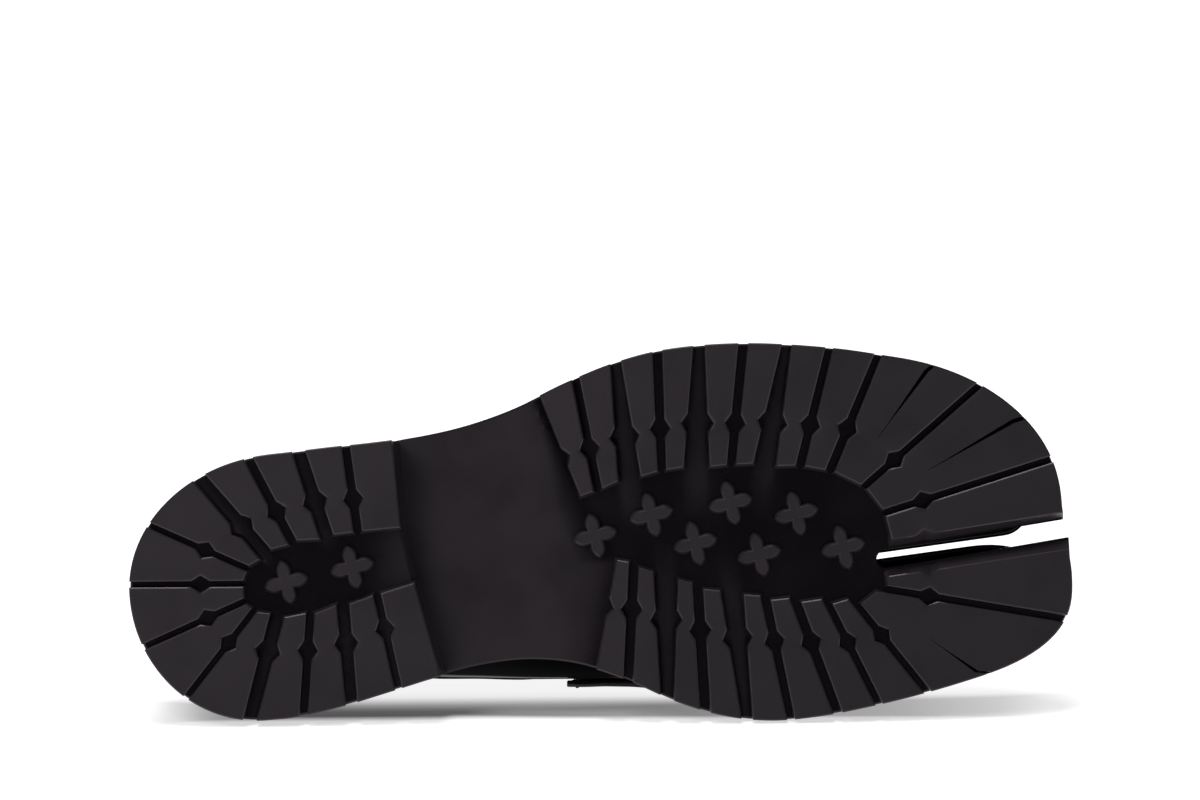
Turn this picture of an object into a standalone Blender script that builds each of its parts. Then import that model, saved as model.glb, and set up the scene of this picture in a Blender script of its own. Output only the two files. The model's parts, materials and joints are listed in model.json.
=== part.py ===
"""Right-foot tabi loafer with a lugged rubber sole, lying on its medial side.

The tables are in millimetres and the meshes in metres. The shoe is worked out standing: X runs from the
heel to the toe, Y towards the medial side and Z up from the ground. An empty then lays it on its side.
"""
import bisect
import math
from collections import namedtuple

import bmesh
import bpy
import numpy as np
from mathutils import Matrix, Vector

MM = 0.001
GAP = 0.3
MEDIAL = 1
LATERAL = -1
MERGE = 1e-4
NEARLY_ZERO = 1e-9

# Heights of the layers, and the curve that the whole sole follows
LUG_DEPTH = 5.0
STUD_HEIGHT = 4.4
OUTSOLE_THICK = 6.0
MIDSOLE_THICK = 4.0
INSOLE_THICK = 2.5
HEEL_LIFT = 22.0
TOE_SPRING = 9.0
SEAT_X = 35.0
BALL_X = 172.0
SPRING_X = 205.0
TOE_X = 298.0
BEND_PLANES = (35, 50, 65, 80, 95, 110, 125, 140, 156, 172, 205, 222, 240, 258, 278)

# Half widths of the sole from its long axis, before the round ends close them
Width = namedtuple("Width", "x lateral medial")
SOLE_WIDTHS = (
    Width(40, 40.1, 43.8),
    Width(50, 40.2, 43.4),
    Width(65, 41.1, 40.9),
    Width(80, 41.8, 37.3),
    Width(95, 43.0, 33.6),
    Width(110, 45.6, 30.7),
    Width(125, 50.0, 29.9),
    Width(140, 56.3, 32.2),
    Width(155, 61.6, 38.0),
    Width(170, 65.0, 45.7),
    Width(185, 66.1, 51.2),
    Width(200, 65.8, 53.6),
    Width(215, 64.3, 53.2),
    Width(230, 62.0, 51.3),
    Width(245, 58.8, 48.7),
    Width(260, 55.6, 45.4),
    Width(290, 49.3, 37.8),
    Width(305, 46.2, 34.0),
)

# A round end: from start to tip the side closes on the line y = centre as a superellipse
End = namedtuple("End", "start tip centre power")
SOLE_HEEL = {LATERAL: End(50, 0, 1.5, 2.0), MEDIAL: End(40, 0, 1.5, 2.0)}
SOLE_TOE = {LATERAL: End(245, 295.7, -8, 2.35), MEDIAL: End(262, 297.5, 12, 3.1)}
UPPER_HEEL = {LATERAL: End(50, 6, 1.5, 2.1), MEDIAL: End(44, 6, 1.5, 2.1)}
UPPER_TOE = {LATERAL: End(238, 287.0, -15, 2.3), MEDIAL: End(254, 289.5, 16, 2.6)}
INSOLE_TOE = {LATERAL: End(234, 281.0, -17, 2.2), MEDIAL: End(250, 283.5, 18, 2.2)}
INSOLE_CORNER = 12.0
END_TURNS = 6
SIDE_STEP = 13.0

# The split between the big toe and the others, from its end to its mouth along X: where its straight centre
# line stands at both, and its half width
Split = namedtuple("Split", "end_y mouth_y half")
SPLIT_END = 236.0
SPLIT_MOUTH = 296.0
OUTSOLE_SPLIT = Split(5.2, -1.2, 2.95)
MIDSOLE_SPLIT = Split(5.2, -1.2, 3.3)
UPPER_SPLIT = Split(4.0, -0.6, 0.9)
CORNER_DROP = 0.5
SPLIT_TURNS = 6

# How far each layer's edge stands inside the tread's outline: the heel flares, the forefoot is upright
Inset = namedtuple("Inset", "heel fore")
TREAD_INSET = Inset(0.0, 0.0)
BLOCK_INSET = Inset(0.5, 0.5)
OUTSOLE_INSET = Inset(3.2, 0.75)
MIDSOLE_INSET = Inset(3.8, 2.2)
FLARE_FROM = 92.0
FLARE_TO = 62.0

# Grooves between lugs, in order round the sole against the clock as seen from above. The root is the end
# at the middle of the sole and the mouth the end at its edge; notch is the place of the diamond on the way
Groove = namedtuple("Groove", "root_x root_y mouth_x mouth_y root_w mouth_w notch")
FORE_LATERAL = (
    Groove(144.4, -19.8, 133.4, -52.4, 0, 0, 0.42),
    Groove(149.7, -21.3, 144.8, -57.2, 3.0, 2.6, 0.40),
    Groove(159.8, -24.4, 157.7, -61.3, 7.6, 3.7, 0.39),
    Groove(170.1, -26.3, 171.0, -64.9, 2.8, 3.2, 0.37),
    Groove(181.1, -26.8, 184.2, -65.9, 8.6, 3.8, 0.38),
    Groove(191.9, -26.8, 198.2, -65.6, 2.9, 3.2, 0.36),
    Groove(202.4, -26.2, 211.9, -64.6, 7.6, 3.2, 0.37),
    Groove(213.5, -25.2, 225.3, -63.0, 3.0, 2.5, 0.36),
    Groove(222.6, -23.0, 240.5, -59.6, 3.0, 2.5, 0.38),
    Groove(232.7, -17.7, 271.6, -47.9, 2.3, 2.2, 0.28),
    Groove(238.6, -9.5, 291.5, -22.9, 2.3, 2.2, 0.25),
    Groove(240.3, -0.9, 295.6, -6.2, 0, 0, 0.21),
)
FORE_MEDIAL = (
    Groove(240.0, 10.3, 296.6, 5.1, 0, 0, 0.22),
    Groove(237.7, 14.2, 294.3, 27.2, 2.4, 2.3, 0.25),
    Groove(227.8, 17.0, 249.3, 47.2, 2.3, 2.2, 0.39),
    Groove(219.6, 16.9, 234.0, 50.4, 2.4, 2.3, 0.40),
    Groove(209.5, 15.5, 220.9, 52.5, 3.2, 2.9, 0.38),
    Groove(200.3, 14.5, 206.0, 53.5, 3.0, 2.5, 0.36),
    Groove(189.9, 12.2, 192.2, 52.2, 7.4, 3.6, 0.37),
    Groove(179.2, 9.4, 179.2, 49.2, 3.4, 3.4, 0.36),
    Groove(169.4, 5.6, 167.5, 44.1, 8.0, 4.4, 0.37),
    Groove(159.6, 0.9, 155.5, 38.3, 3.3, 3.3, 0.40),
    Groove(154.4, -0.5, 145.9, 33.3, 0, 0, 0.45),
)
HEEL_RING = (
    Groove(89.9, 3.1, 96.4, 33.0, 0, 0, 0),
    Groove(78.0, 6.0, 83.0, 36.4, 2.5, 2.4, 0.37),
    Groove(67.1, 8.5, 67.9, 39.8, 4.2, 3.9, 0.40),
    Groove(56.7, 10.7, 52.5, 43.5, 2.8, 2.8, 0.36),
    Groove(46.3, 10.7, 35.6, 43.2, 4.8, 4.4, 0.35),
    Groove(39.3, 8.6, 16.0, 35.0, 2.1, 2.0, 0.38),
    Groove(36.6, 5.7, 3.3, 18.4, 2.1, 2.0, 0.37),
    Groove(36.3, 0.3, 0.4, -1.6, 2.0, 1.9, 0.38),
    Groove(37.9, -4.3, 7.5, -20.0, 2.0, 1.9, 0.43),
    Groove(43.8, -8.4, 24.5, -33.6, 4.8, 4.4, 0.37),
    Groove(52.5, -11.6, 40.2, -38.9, 3.0, 2.9, 0.37),
    Groove(63.3, -12.7, 56.0, -40.7, 4.6, 4.3, 0.41),
    Groove(73.2, -13.7, 71.0, -41.5, 2.9, 2.7, 0.38),
    Groove(86.6, -14.2, 85.6, -41.6, 0, 0, 0),
)
NOTCH_HALF = 3.0
NOTCH_DEPTH = 1.8

# Short tapered cuts from the edge into the big toe lugs
Sipe = namedtuple("Sipe", "mouth_x mouth_y tip_x tip_y")
SIPES = (
    Sipe(256.8, -54.5, 240.5, -35.5),
    Sipe(284.8, -36.9, 254.5, -22.4),
    Sipe(268.9, 42.7, 252.5, 31.2),
)
SIPE_WIDTH = 1.8
EDGE_STEP = 6.5
LUG_ROOT = 1.5

# Cross-shaped studs in the hollow middle of forefoot and heel, and one leaf of the cross
Place = namedtuple("Place", "x y")
FORE_STUDS = (
    Place(147.9, -8.0),
    Place(166.0, -13.6),
    Place(191.2, -15.8),
    Place(211.7, -11.2),
    Place(179.3, -3.7),
    Place(199.2, 1.0),
    Place(225.8, 0.4),
)
HEEL_STUDS = (Place(49.7, 0.7), Place(70.8, -2.8))
STUD_TURN = -10.5
Leaf = namedtuple("Leaf", "radius degrees")
STUD_LEAF = (Leaf(4.9, -27), Leaf(5.9, -13), Leaf(6.6, 0), Leaf(5.9, 13), Leaf(4.9, 27), Leaf(2.9, 45))

# The heel's front face, from the lateral to the medial edge, and how far it leans forward going up
BREAST = (Place(85.6, -41.3), Place(86.7, -14.4), Place(89.8, 3.3), Place(96.4, 33.0))
BREAST_LEAN = 3.0

# Cross-sections of the upper. The margin is the welt left round the feather line, the bulge is how far the
# wall swells past that line, crest is the height of the arch (above the collar, of the arch that it cuts
# short) and ridge is where the arch peaks across the shoe
Section = namedtuple("Section", "x lateral_margin medial_margin lateral_bulge medial_bulge crest ridge")
SECTIONS = (
    Section(0, 6.8, 8.2, 2.0, 1.5, 108, 1.5),
    Section(50, 6.8, 8.2, 2.0, 1.5, 110, 1.5),
    Section(80, 6.8, 7.0, 1.5, 5.4, 124, 2),
    Section(95, 6.8, 5.6, 1.5, 10.4, 136, 3),
    Section(110, 7.0, 4.6, 1.0, 13.8, 138, 4),
    Section(125, 8.5, 4.4, 0.5, 15.4, 120, 5),
    Section(140, 10.0, 4.6, 0.0, 13.8, 97, 6),
    Section(150, 10.0, 5.0, 0.0, 10.6, 87, 6.5),
    Section(170, 9.0, 6.2, 0.0, 4.0, 76, 7.5),
    Section(190, 8.5, 7.0, 0.5, 1.5, 67.5, 7.5),
    Section(205, 8.2, 7.3, 0.8, 1.0, 64, 6.5),
    Section(215, 8.0, 7.5, 1.0, 1.0, 62.5, 6),
    Section(225, 8.0, 7.2, 1.0, 1.0, 59, 5),
    Section(236, 8.0, 7.0, 1.0, 1.0, 54.5, 4),
    Section(260, 8.0, 7.0, 1.0, 1.0, 50.5, 2),
    Section(290, 8.0, 7.0, 1.0, 1.0, 47, 0),
)
WALL = 2.0
ARCH_SIDE = 0.60
ARCH_TOP = 0.85
TOE_SIDE = 0.66
TOE_TOP = 0.66
BULGE_SPAN = 0.45
SWELL_FADE = 245.0
CLEFT_START = 204.0
CLEFT_POWER = 4
LOBE_START = 192.0
TOE_ROUND = {LATERAL: 10.0, MEDIAL: 24.0}
TOE_DROP = 34.0
TOE_POWER = 2.2

# Where the sections stand: evenly by angle round the heel, by these angles towards the cleft and the tips
ACROSS = 14
HEEL_PLACES_END = 45.0
QUARTER_PLACES = (55, 65, 80, 95, 110, 120, 128, 135, 141, 145.5, 148.5)
VAMP_PLACES = (156, 164, 172, 182, 193)
CLEFT_ANGLES = (0, 18, 34, 50, 64, 77)
TOE_PLACES = (240, 246)
TIP_PLACES_START = 253.0
TIP_ANGLES = (0, 18, 34, 48, 60, 71, 81)
NORMAL_STEP_X = 0.4
NORMAL_STEP_S = 0.004

# The topline in side view, and the heel's back curve as a shift of X by height above the feather line
Collar = namedtuple("Collar", "x z")
COLLAR = (
    Collar(6, 99),
    Collar(30, 94),
    Collar(55, 86),
    Collar(80, 80),
    Collar(105, 78),
    Collar(125, 80.5),
    Collar(140, 84.5),
    Collar(150, 87),
)
THROAT_X = 150.0
BackCurve = namedtuple("BackCurve", "x shift")
BACK_CURVE = (BackCurve(0, 0.0), BackCurve(20, -2.5), BackCurve(40, -1.0), BackCurve(62, 4.5))
BACK_REACH = 60.0

# The strap across the instep: the s of its cut ends, its rear and front edge there and at the crest, and
# its cut-out
STRAP_END = 0.3
STRAP_REAR = (136.0, 152.0)
STRAP_FRONT = (174.0, 178.0)
STRAP_THICK = 2.1
STRAP_CLEAR = 0.45
STRAP_ACROSS = 6
SLOT_ROWS = (2, 4)
SLOT_REACH = 6

# The tongue: a tab under the vamp that leaves the throat at this slope
TONGUE_TIP = 116.0
TONGUE_TUCK = 166.0
TONGUE_SLOPE = -0.46
TONGUE_THICK = 2.0
TONGUE_CLEAR = 0.8
TONGUE_SIDE = 0.66
TONGUE_ROUND = 14.0
TONGUE_BLUNT = 15.1
TONGUE_POWER = 2.4
TONGUE_COLUMNS = 12
TONGUE_ROWS = 9

# Densities in kilograms per cubic metre, for the balance of the lying shoe
RUBBER_DENSITY = 1150
LEATHER_DENSITY = 900

Finish = namedtuple("Finish", "colour roughness")
BLACK_RUBBER = Finish((0.019, 0.018, 0.019, 1), 0.55)
EDGE_BLACK = Finish((0.014, 0.013, 0.014, 1), 0.4)
GLOSS_LEATHER = Finish((0.008, 0.008, 0.009, 1), 0.22)
FOOTBED_LEATHER = Finish((0.05, 0.045, 0.042, 1), 0.6)


# Small tools for curves

def spline(rows, column):
    """Smooth curve through a table's column over its x, level beyond both ends."""
    xs = [row.x for row in rows]
    ys = [getattr(row, column) for row in rows]
    last = len(xs) - 1
    slopes = []
    for i in range(last + 1):
        low, high = max(i - 1, 0), min(i + 1, last)
        slopes.append((ys[high] - ys[low]) / (xs[high] - xs[low]))

    def value(x):
        if x <= xs[0]:
            return ys[0]
        if x >= xs[-1]:
            return ys[-1]
        i = bisect.bisect_right(xs, x) - 1
        span = xs[i + 1] - xs[i]
        t = (x - xs[i]) / span
        rise_in = slopes[i] * span
        rise_out = slopes[i + 1] * span
        chord = ys[i + 1] - ys[i]
        twist = rise_in + rise_out - 2 * chord
        return ys[i] + t * (rise_in + t * (chord - rise_in - twist + t * twist))

    return value


def smoothstep(low, high, x):
    t = min(max((x - low) / (high - low), 0.0), 1.0)
    return t * t * (3 - 2 * t)


def superellipse(t, power):
    """Closing factor from 1 at t = 0 to 0 at t = 1."""
    return max(1 - min(max(t, 0.0), 1.0) ** power, 0.0) ** (1 / power)


def signed_power(value, power):
    return math.copysign(abs(value) ** power, value)


def smooth_rise(x):
    """Height of the outsole's underside: level at heel and ball, climbing between, sprung at the toe."""
    climb = smoothstep(0, BALL_X - SEAT_X, BALL_X - x)
    spring = max(x - SPRING_X, 0.0) / (TOE_X - SPRING_X)
    return LUG_DEPTH + HEEL_LIFT * climb + TOE_SPRING * spring ** 2


BEND_KNOTS = (0.0,) + BEND_PLANES + (TOE_X,)
BEND_HEIGHTS = [smooth_rise(knot) for knot in BEND_KNOTS]


def rise(x):
    """The same height as straight runs between the bend planes, so that every facet stays flat."""
    return float(np.interp(x, BEND_KNOTS, BEND_HEIGHTS))


def feather(x):
    """Height of the line where the upper meets the midsole."""
    return rise(x) + OUTSOLE_THICK + GAP + MIDSOLE_THICK + GAP


# Outlines

SOLE_WIDTH = {LATERAL: spline(SOLE_WIDTHS, "lateral"), MEDIAL: spline(SOLE_WIDTHS, "medial")}
MARGIN = {LATERAL: spline(SECTIONS, "lateral_margin"), MEDIAL: spline(SECTIONS, "medial_margin")}
BULGE = {LATERAL: spline(SECTIONS, "lateral_bulge"), MEDIAL: spline(SECTIONS, "medial_bulge")}
CREST = spline(SECTIONS, "crest")
RIDGE = spline(SECTIONS, "ridge")
COLLAR_HEIGHT = spline(COLLAR, "z")
BACK_SHIFT = spline(BACK_CURVE, "shift")


def closed_side(side, x, reach, heel, toe, inset):
    """Y of a side at x, where reach is its half width before the inset and before heel and toe close it."""
    share = smoothstep(FLARE_TO, FLARE_FROM, x)
    y = side * (reach - inset.heel - (inset.fore - inset.heel) * share)
    for end, tip in ((heel, heel.tip + inset.heel), (toe, toe.tip - inset.fore)):
        y = end.centre + (y - end.centre) * superellipse((x - end.start) / (tip - end.start), end.power)
    return y


def sole_edge(side, x, inset):
    return closed_side(side, x, SOLE_WIDTH[side](x), SOLE_HEEL[side], SOLE_TOE[side], inset)


def feather_edge(side, x, inset=TREAD_INSET, toe=UPPER_TOE):
    reach = SOLE_WIDTH[side](x) - MARGIN[side](x)
    return closed_side(side, x, reach, UPPER_HEEL[side], toe[side], inset)


def insole_edge(side, x, inset):
    return feather_edge(side, x, inset, INSOLE_TOE)


def split_line(split, x):
    """Y of a toe split's centre line."""
    t = (x - SPLIT_END) / (SPLIT_MOUTH - SPLIT_END)
    return split.end_y + t * (split.mouth_y - split.end_y)


def stations(heel, toe, inset, turns, step):
    """X places from a heel end to a toe end: by angle round the ends, evenly between them."""
    back = heel.tip + inset.heel
    front = toe.tip - inset.fore
    angles = [math.pi / 2 * i / turns for i in range(turns)]
    places = [heel.start - (heel.start - back) * math.cos(a) for a in angles]
    count = round((toe.start - heel.start) / step)
    places += [heel.start + (toe.start - heel.start) * i / count for i in range(count)]
    places += [toe.start + (front - toe.start) * math.sin(a) for a in angles]
    return places + [front]


def two_sides(edge, heel, toe, inset, turns, step):
    """Plan points of the lateral and the medial side, both from the heel's tip to the toe's."""
    sides = []
    for side in (LATERAL, MEDIAL):
        places = stations(heel[side], toe[side], inset, turns, step)
        sides.append([(x, edge(side, x, inset)) for x in places])
    return sides


def outline(edge, heel, toe, inset, split, split_end=SPLIT_END, corner=CORNER_DROP):
    """Closed plan outline against the clock, with the toe split cut in."""
    lateral, medial = two_sides(edge, heel, toe, inset, END_TURNS, SIDE_STEP)
    cut = []
    for side in (LATERAL, MEDIAL):
        x = toe[side].tip - inset.fore - corner
        cut.append((x, split_line(split, x) + side * split.half))
    centre = Vector((split_end + split.half, split_line(split, split_end + split.half)))
    for i in range(SPLIT_TURNS + 1):
        a = -math.pi / 2 - math.pi * i / SPLIT_TURNS
        cut.insert(-1, (centre.x + split.half * math.cos(a), centre.y + split.half * math.sin(a)))
    return lateral + cut + medial[:0:-1]


# Lugs: each fills the space between two grooves, from the hollow middle to the edge

FINE_TURNS = 40
FINE_STEP = 1.0
EDGE_LATERAL, EDGE_MEDIAL = two_sides(sole_edge, SOLE_HEEL, SOLE_TOE, TREAD_INSET, FINE_TURNS, FINE_STEP)
EDGE_PATH = np.array(EDGE_LATERAL + EDGE_MEDIAL[:0:-1])
EDGE_NEXT = np.roll(EDGE_PATH, -1, axis=0)
EDGE_RUN = np.hypot(*(EDGE_NEXT - EDGE_PATH).T)
EDGE_START = np.concatenate(([0.0], np.cumsum(EDGE_RUN)))


def edge_point(distance):
    """Point on the tread's outline at a distance along it."""
    distance = distance % EDGE_START[-1]
    i = min(int(np.searchsorted(EDGE_START, distance, side="right")) - 1, len(EDGE_PATH) - 1)
    return Vector(EDGE_PATH[i] + (EDGE_NEXT[i] - EDGE_PATH[i]) * (distance - EDGE_START[i]) / EDGE_RUN[i])


def edge_crossing(start, along):
    """Distance along the outline where a ray from start first meets it."""
    step = EDGE_NEXT - EDGE_PATH
    offset = EDGE_PATH - np.array(start)
    cross = along.x * step[:, 1] - along.y * step[:, 0]
    cross = np.where(np.abs(cross) < NEARLY_ZERO, NEARLY_ZERO, cross)
    reach = (offset[:, 0] * step[:, 1] - offset[:, 1] * step[:, 0]) / cross
    share = (offset[:, 0] * along.y - offset[:, 1] * along.x) / cross
    hit = np.where((share >= 0) & (share < 1) & (reach > 0), reach, np.inf)
    i = int(np.argmin(hit))
    return EDGE_START[i] + share[i] * EDGE_RUN[i]


def flank(groove, turn):
    """One side of a groove from root to edge, with its half diamond, and its distance along the edge."""
    root = Vector((groove.root_x, groove.root_y))
    mouth = Vector((groove.mouth_x, groove.mouth_y))
    across = (mouth - root).orthogonal().normalized() * turn
    root = root + across * groove.root_w / 2
    mouth = mouth + across * groove.mouth_w / 2
    along = (mouth - root).normalized()
    distance = edge_crossing(root, along)
    points = [root]
    if groove.notch:
        middle = root.lerp(mouth, groove.notch)
        points += [middle - along * NOTCH_HALF, middle + across * NOTCH_DEPTH, middle + along * NOTCH_HALF]
    return points + [edge_point(distance)], distance


def edge_stretch(start, end):
    """Points inside a stretch of the outline, with any tapered cut that begins on it."""
    if end < start:
        end += EDGE_START[-1]
    cuts = []
    for sipe in SIPES:
        tip = Vector((sipe.tip_x, sipe.tip_y))
        place = edge_crossing(tip, Vector((sipe.mouth_x, sipe.mouth_y)) - tip)
        if start < place < end:
            cuts.append((place, tip))
    points = []
    for place, tip in cuts + [(end, None)]:
        stop = place - SIPE_WIDTH / 2 if tip else end
        count = max(round((stop - start) / EDGE_STEP), 1)
        points += [edge_point(start + (stop - start) * i / count) for i in range(1, count)]
        if tip:
            points += [edge_point(stop), tip, edge_point(stop + SIPE_WIDTH)]
            start = stop + SIPE_WIDTH
    return points


def lug_outlines(grooves):
    """One closed outline for each lug between neighbouring grooves of a ring."""
    outlines = []
    for before, after in zip(grooves, grooves[1:]):
        first, first_distance = flank(before, 1)
        second, second_distance = flank(after, -1)
        outlines.append(first + edge_stretch(first_distance, second_distance) + second[::-1])
    return outlines


def stud_outline(centre):
    """Cross of four pointed leaves round a centre."""
    points = []
    for quarter in range(4):
        for leaf in STUD_LEAF:
            a = math.radians(STUD_TURN + leaf.degrees + 90 * quarter)
            points.append((centre.x + leaf.radius * math.cos(a), centre.y + leaf.radius * math.sin(a)))
    return points


# Meshes

def add_prism(bm, lower, upper, bottom, top):
    """Closed prism between two outlines with the same number of points."""
    low = [bm.verts.new((p[0], p[1], bottom)) for p in lower]
    high = [bm.verts.new((p[0], p[1], top)) for p in upper]
    bm.faces.new(low[::-1])
    bm.faces.new(high)
    for i in range(len(low)):
        j = (i + 1) % len(low)
        bm.faces.new((low[i], low[j], high[j], high[i]))


def new_object(name, bm):
    mesh = bpy.data.meshes.new(name)
    bm.to_mesh(mesh)
    bm.free()
    obj = bpy.data.objects.new(name, mesh)
    bpy.context.collection.objects.link(obj)
    return obj


def fuse(body, extras):
    """Mesh of body joined with extras by a Boolean union; both objects are used up."""
    union = body.modifiers.new("fuse", "BOOLEAN")
    union.operation = "UNION"
    union.solver = "EXACT"
    union.object = extras
    graph = bpy.context.evaluated_depsgraph_get()
    bm = bmesh.new()
    bm.from_object(body, graph)
    bpy.data.objects.remove(extras)
    bpy.data.objects.remove(body)
    bmesh.ops.remove_doubles(bm, verts=bm.verts, dist=MERGE)
    return bm


def cut_at_bends(bm):
    for x in BEND_PLANES:
        geometry = bm.verts[:] + bm.edges[:] + bm.faces[:]
        bmesh.ops.bisect_plane(bm, geom=geometry, dist=MERGE, plane_co=(x, 0, 0), plane_no=(1, 0, 0))


def bend(bm):
    """Cut a flat layer at the bend planes and lift it onto the sole's curve."""
    cut_at_bends(bm)
    for v in bm.verts:
        v.co.z += rise(v.co.x)


def lugs_object(rings, studs, tread, root):
    """Helper object holding every lug of the rings and every stud, as separate prisms."""
    bm = bmesh.new()
    for ring in rings:
        for points in lug_outlines(ring):
            add_prism(bm, points, points, tread, root)
    for centre in studs:
        points = stud_outline(centre)
        add_prism(bm, points, points, root - LUG_ROOT - STUD_HEIGHT, root)
    return new_object("lugs", bm)


def outsole_mesh():
    plate = bmesh.new()
    points = outline(sole_edge, SOLE_HEEL, SOLE_TOE, OUTSOLE_INSET, OUTSOLE_SPLIT)
    add_prism(plate, points, points, 0.0, OUTSOLE_THICK)
    lugs = lugs_object((FORE_LATERAL, FORE_MEDIAL), FORE_STUDS, -LUG_DEPTH, LUG_ROOT)
    bm = fuse(new_object("plate", plate), lugs)
    bend(bm)
    return bm


def heel_outline(inset, lean):
    """Plan outline of the heel against the clock: lateral side, breast, then the medial side."""
    sides = []
    for side, corner in ((LATERAL, BREAST[0]), (MEDIAL, BREAST[-1])):
        end = SOLE_HEEL[side]
        back = end.tip + inset.heel
        front = corner.x + lean
        angles = [math.pi / 2 * i / END_TURNS for i in range(END_TURNS + 1)]
        places = [end.start - (end.start - back) * math.cos(a) for a in angles]
        places += [(end.start + front) / 2, front]
        sides.append([(x, sole_edge(side, x, inset)) for x in places])
    lateral, medial = sides
    breast = [(place.x + lean, place.y) for place in BREAST[1:-1]]
    return lateral + breast + medial[:0:-1]


def heel_mesh():
    """Block up to the outsole, with a leaning breast, on its ring of lugs."""
    lower = heel_outline(BLOCK_INSET, 0.0)
    upper = heel_outline(OUTSOLE_INSET, BREAST_LEAN)
    top = HEEL_LIFT + LUG_DEPTH
    block = bmesh.new()
    add_prism(block, lower, upper, LUG_DEPTH, top)
    lugs = lugs_object((HEEL_RING,), HEEL_STUDS, 0.0, LUG_DEPTH + LUG_ROOT)
    bm = fuse(new_object("block", block), lugs)
    cut_at_bends(bm)
    for v in bm.verts:
        if v.co.z > top - MERGE:
            v.co.z = rise(v.co.x) - GAP
    return bm


def midsole_mesh():
    bm = bmesh.new()
    points = outline(sole_edge, SOLE_HEEL, SOLE_TOE, MIDSOLE_INSET, MIDSOLE_SPLIT)
    bottom = OUTSOLE_THICK + GAP
    add_prism(bm, points, points, bottom, bottom + MIDSOLE_THICK)
    bend(bm)
    return bm


def insole_mesh():
    bm = bmesh.new()
    clear = WALL + 3 * GAP
    inset = Inset(clear, clear)
    split = UPPER_SPLIT._replace(half=UPPER_SPLIT.half + clear)
    end = SPLIT_END - clear
    points = outline(insole_edge, UPPER_HEEL, INSOLE_TOE, inset, split, split_end=end, corner=INSOLE_CORNER)
    bottom = OUTSOLE_THICK + MIDSOLE_THICK + 2 * GAP
    add_prism(bm, points, points, bottom, bottom + INSOLE_THICK)
    bend(bm)
    return bm


# The upper's surface: side, place along the shoe, and s from the feather line up to the middle

def lobe_inner(side, x):
    """Y of a toe's wall at the split, closing on the toe's own tip."""
    end = UPPER_TOE[side]
    turn = TOE_ROUND[side]
    y = split_line(UPPER_SPLIT, x) + side * UPPER_SPLIT.half
    return end.centre + (y - end.centre) * superellipse((x - end.tip + turn) / turn, TOE_POWER)


def arch_point(side, x, s):
    """Point of the single arch over the whole foot."""
    heel = UPPER_HEEL[side]
    swell = BULGE[side](x) * superellipse((heel.start - x) / (heel.start - heel.tip), heel.power)
    outer = feather_edge(side, x) + side * swell
    middle = heel.centre if x < heel.start else RIDGE(x) + side * UPPER_SPLIT.half
    a = math.pi / 2 * s
    y = middle + (outer - middle) * math.cos(a) ** ARCH_SIDE
    y -= side * swell * max(1 - s / BULGE_SPAN, 0.0) ** 2
    return y, (CREST(x) - feather(x)) * math.sin(a) ** ARCH_TOP


def lobe_point(side, x, s):
    """Point of the arch over the big toe or over the other toes."""
    tip = UPPER_TOE[side].tip
    swell = BULGE[side](x) * superellipse((x - SWELL_FADE) / (tip - SWELL_FADE), TOE_POWER)
    outer = feather_edge(side, x) + side * swell
    inner = lobe_inner(side, x)
    a = math.pi * s
    y = (outer + inner) / 2 + (outer - inner) / 2 * signed_power(math.cos(a), TOE_SIDE)
    drop = superellipse((x - tip + TOE_DROP) / TOE_DROP, TOE_POWER)
    return y, (CREST(x) - feather(x)) * drop * max(math.sin(a), 0.0) ** TOE_TOP


def surface(side, x, s):
    """Outer face of the upper: the single arch, split into two toes towards the front."""
    y, z = arch_point(side, x, s)
    if x > LOBE_START:
        t = min(max((x - CLEFT_START) / (SPLIT_END - CLEFT_START), 0.0), 1.0)
        steep = 1 - math.sqrt(1 - t * t)
        share = smoothstep(LOBE_START, SPLIT_END, x)
        share += (steep - share) * s ** CLEFT_POWER
        lobe_y, lobe_z = lobe_point(side, x, s)
        y += (lobe_y - y) * share
        z += (lobe_z - z) * share
    lean = BACK_SHIFT(z) * max(1 - x / BACK_REACH, 0.0) ** 2
    return Vector((x + lean, y, feather(x) + z))


def collar_share(x):
    """The s at which the topline cuts the arch; 1 where the upper is closed."""
    if x >= THROAT_X:
        return 1.0
    share = (COLLAR_HEIGHT(x) - feather(x)) / (CREST(x) - feather(x))
    return min(math.asin(min(share, 1.0) ** (1 / ARCH_TOP)) * 2 / math.pi, 1.0)


def surface_normal(side, x, s):
    """Outward normal by small steps along and across the surface."""
    low, high = max(s - NORMAL_STEP_S, 0.0), min(s + NORMAL_STEP_S, 1.0)
    along = surface(side, x + NORMAL_STEP_X, s) - surface(side, x - NORMAL_STEP_X, s)
    across = surface(side, x, high) - surface(side, x, low)
    return (across.cross(along) * side).normalized()


def shell(bm, outer, inner, faces):
    """Closed wall: a sheet, the same sheet reversed inside it, and a rim along every open edge."""
    front = [bm.verts.new(p) for p in outer]
    back = [bm.verts.new(p) for p in inner]
    edges = {}
    for face in faces:
        bm.faces.new([front[i] for i in face])
        bm.faces.new([back[i] for i in reversed(face)])
        for a, b in zip(face, face[1:] + face[:1]):
            edges[(a, b)] = (b, a) not in edges and edges.get((a, b), True)
            if (b, a) in edges:
                edges[(a, b)] = edges[(b, a)] = False
    for (a, b), is_open in edges.items():
        if is_open:
            bm.faces.new((front[b], front[a], back[a], back[b]))


def sheet_normals(points, faces):
    """Unit normal at each point of a sheet, weighted by the faces round it."""
    sums = [Vector((0, 0, 0)) for _ in points]
    for face in faces:
        p = [points[i] for i in face]
        normal = (p[2] - p[0]).cross(p[-1] - p[1])
        for i in face:
            sums[i] += normal
    return [n.normalized() for n in sums]


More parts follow.
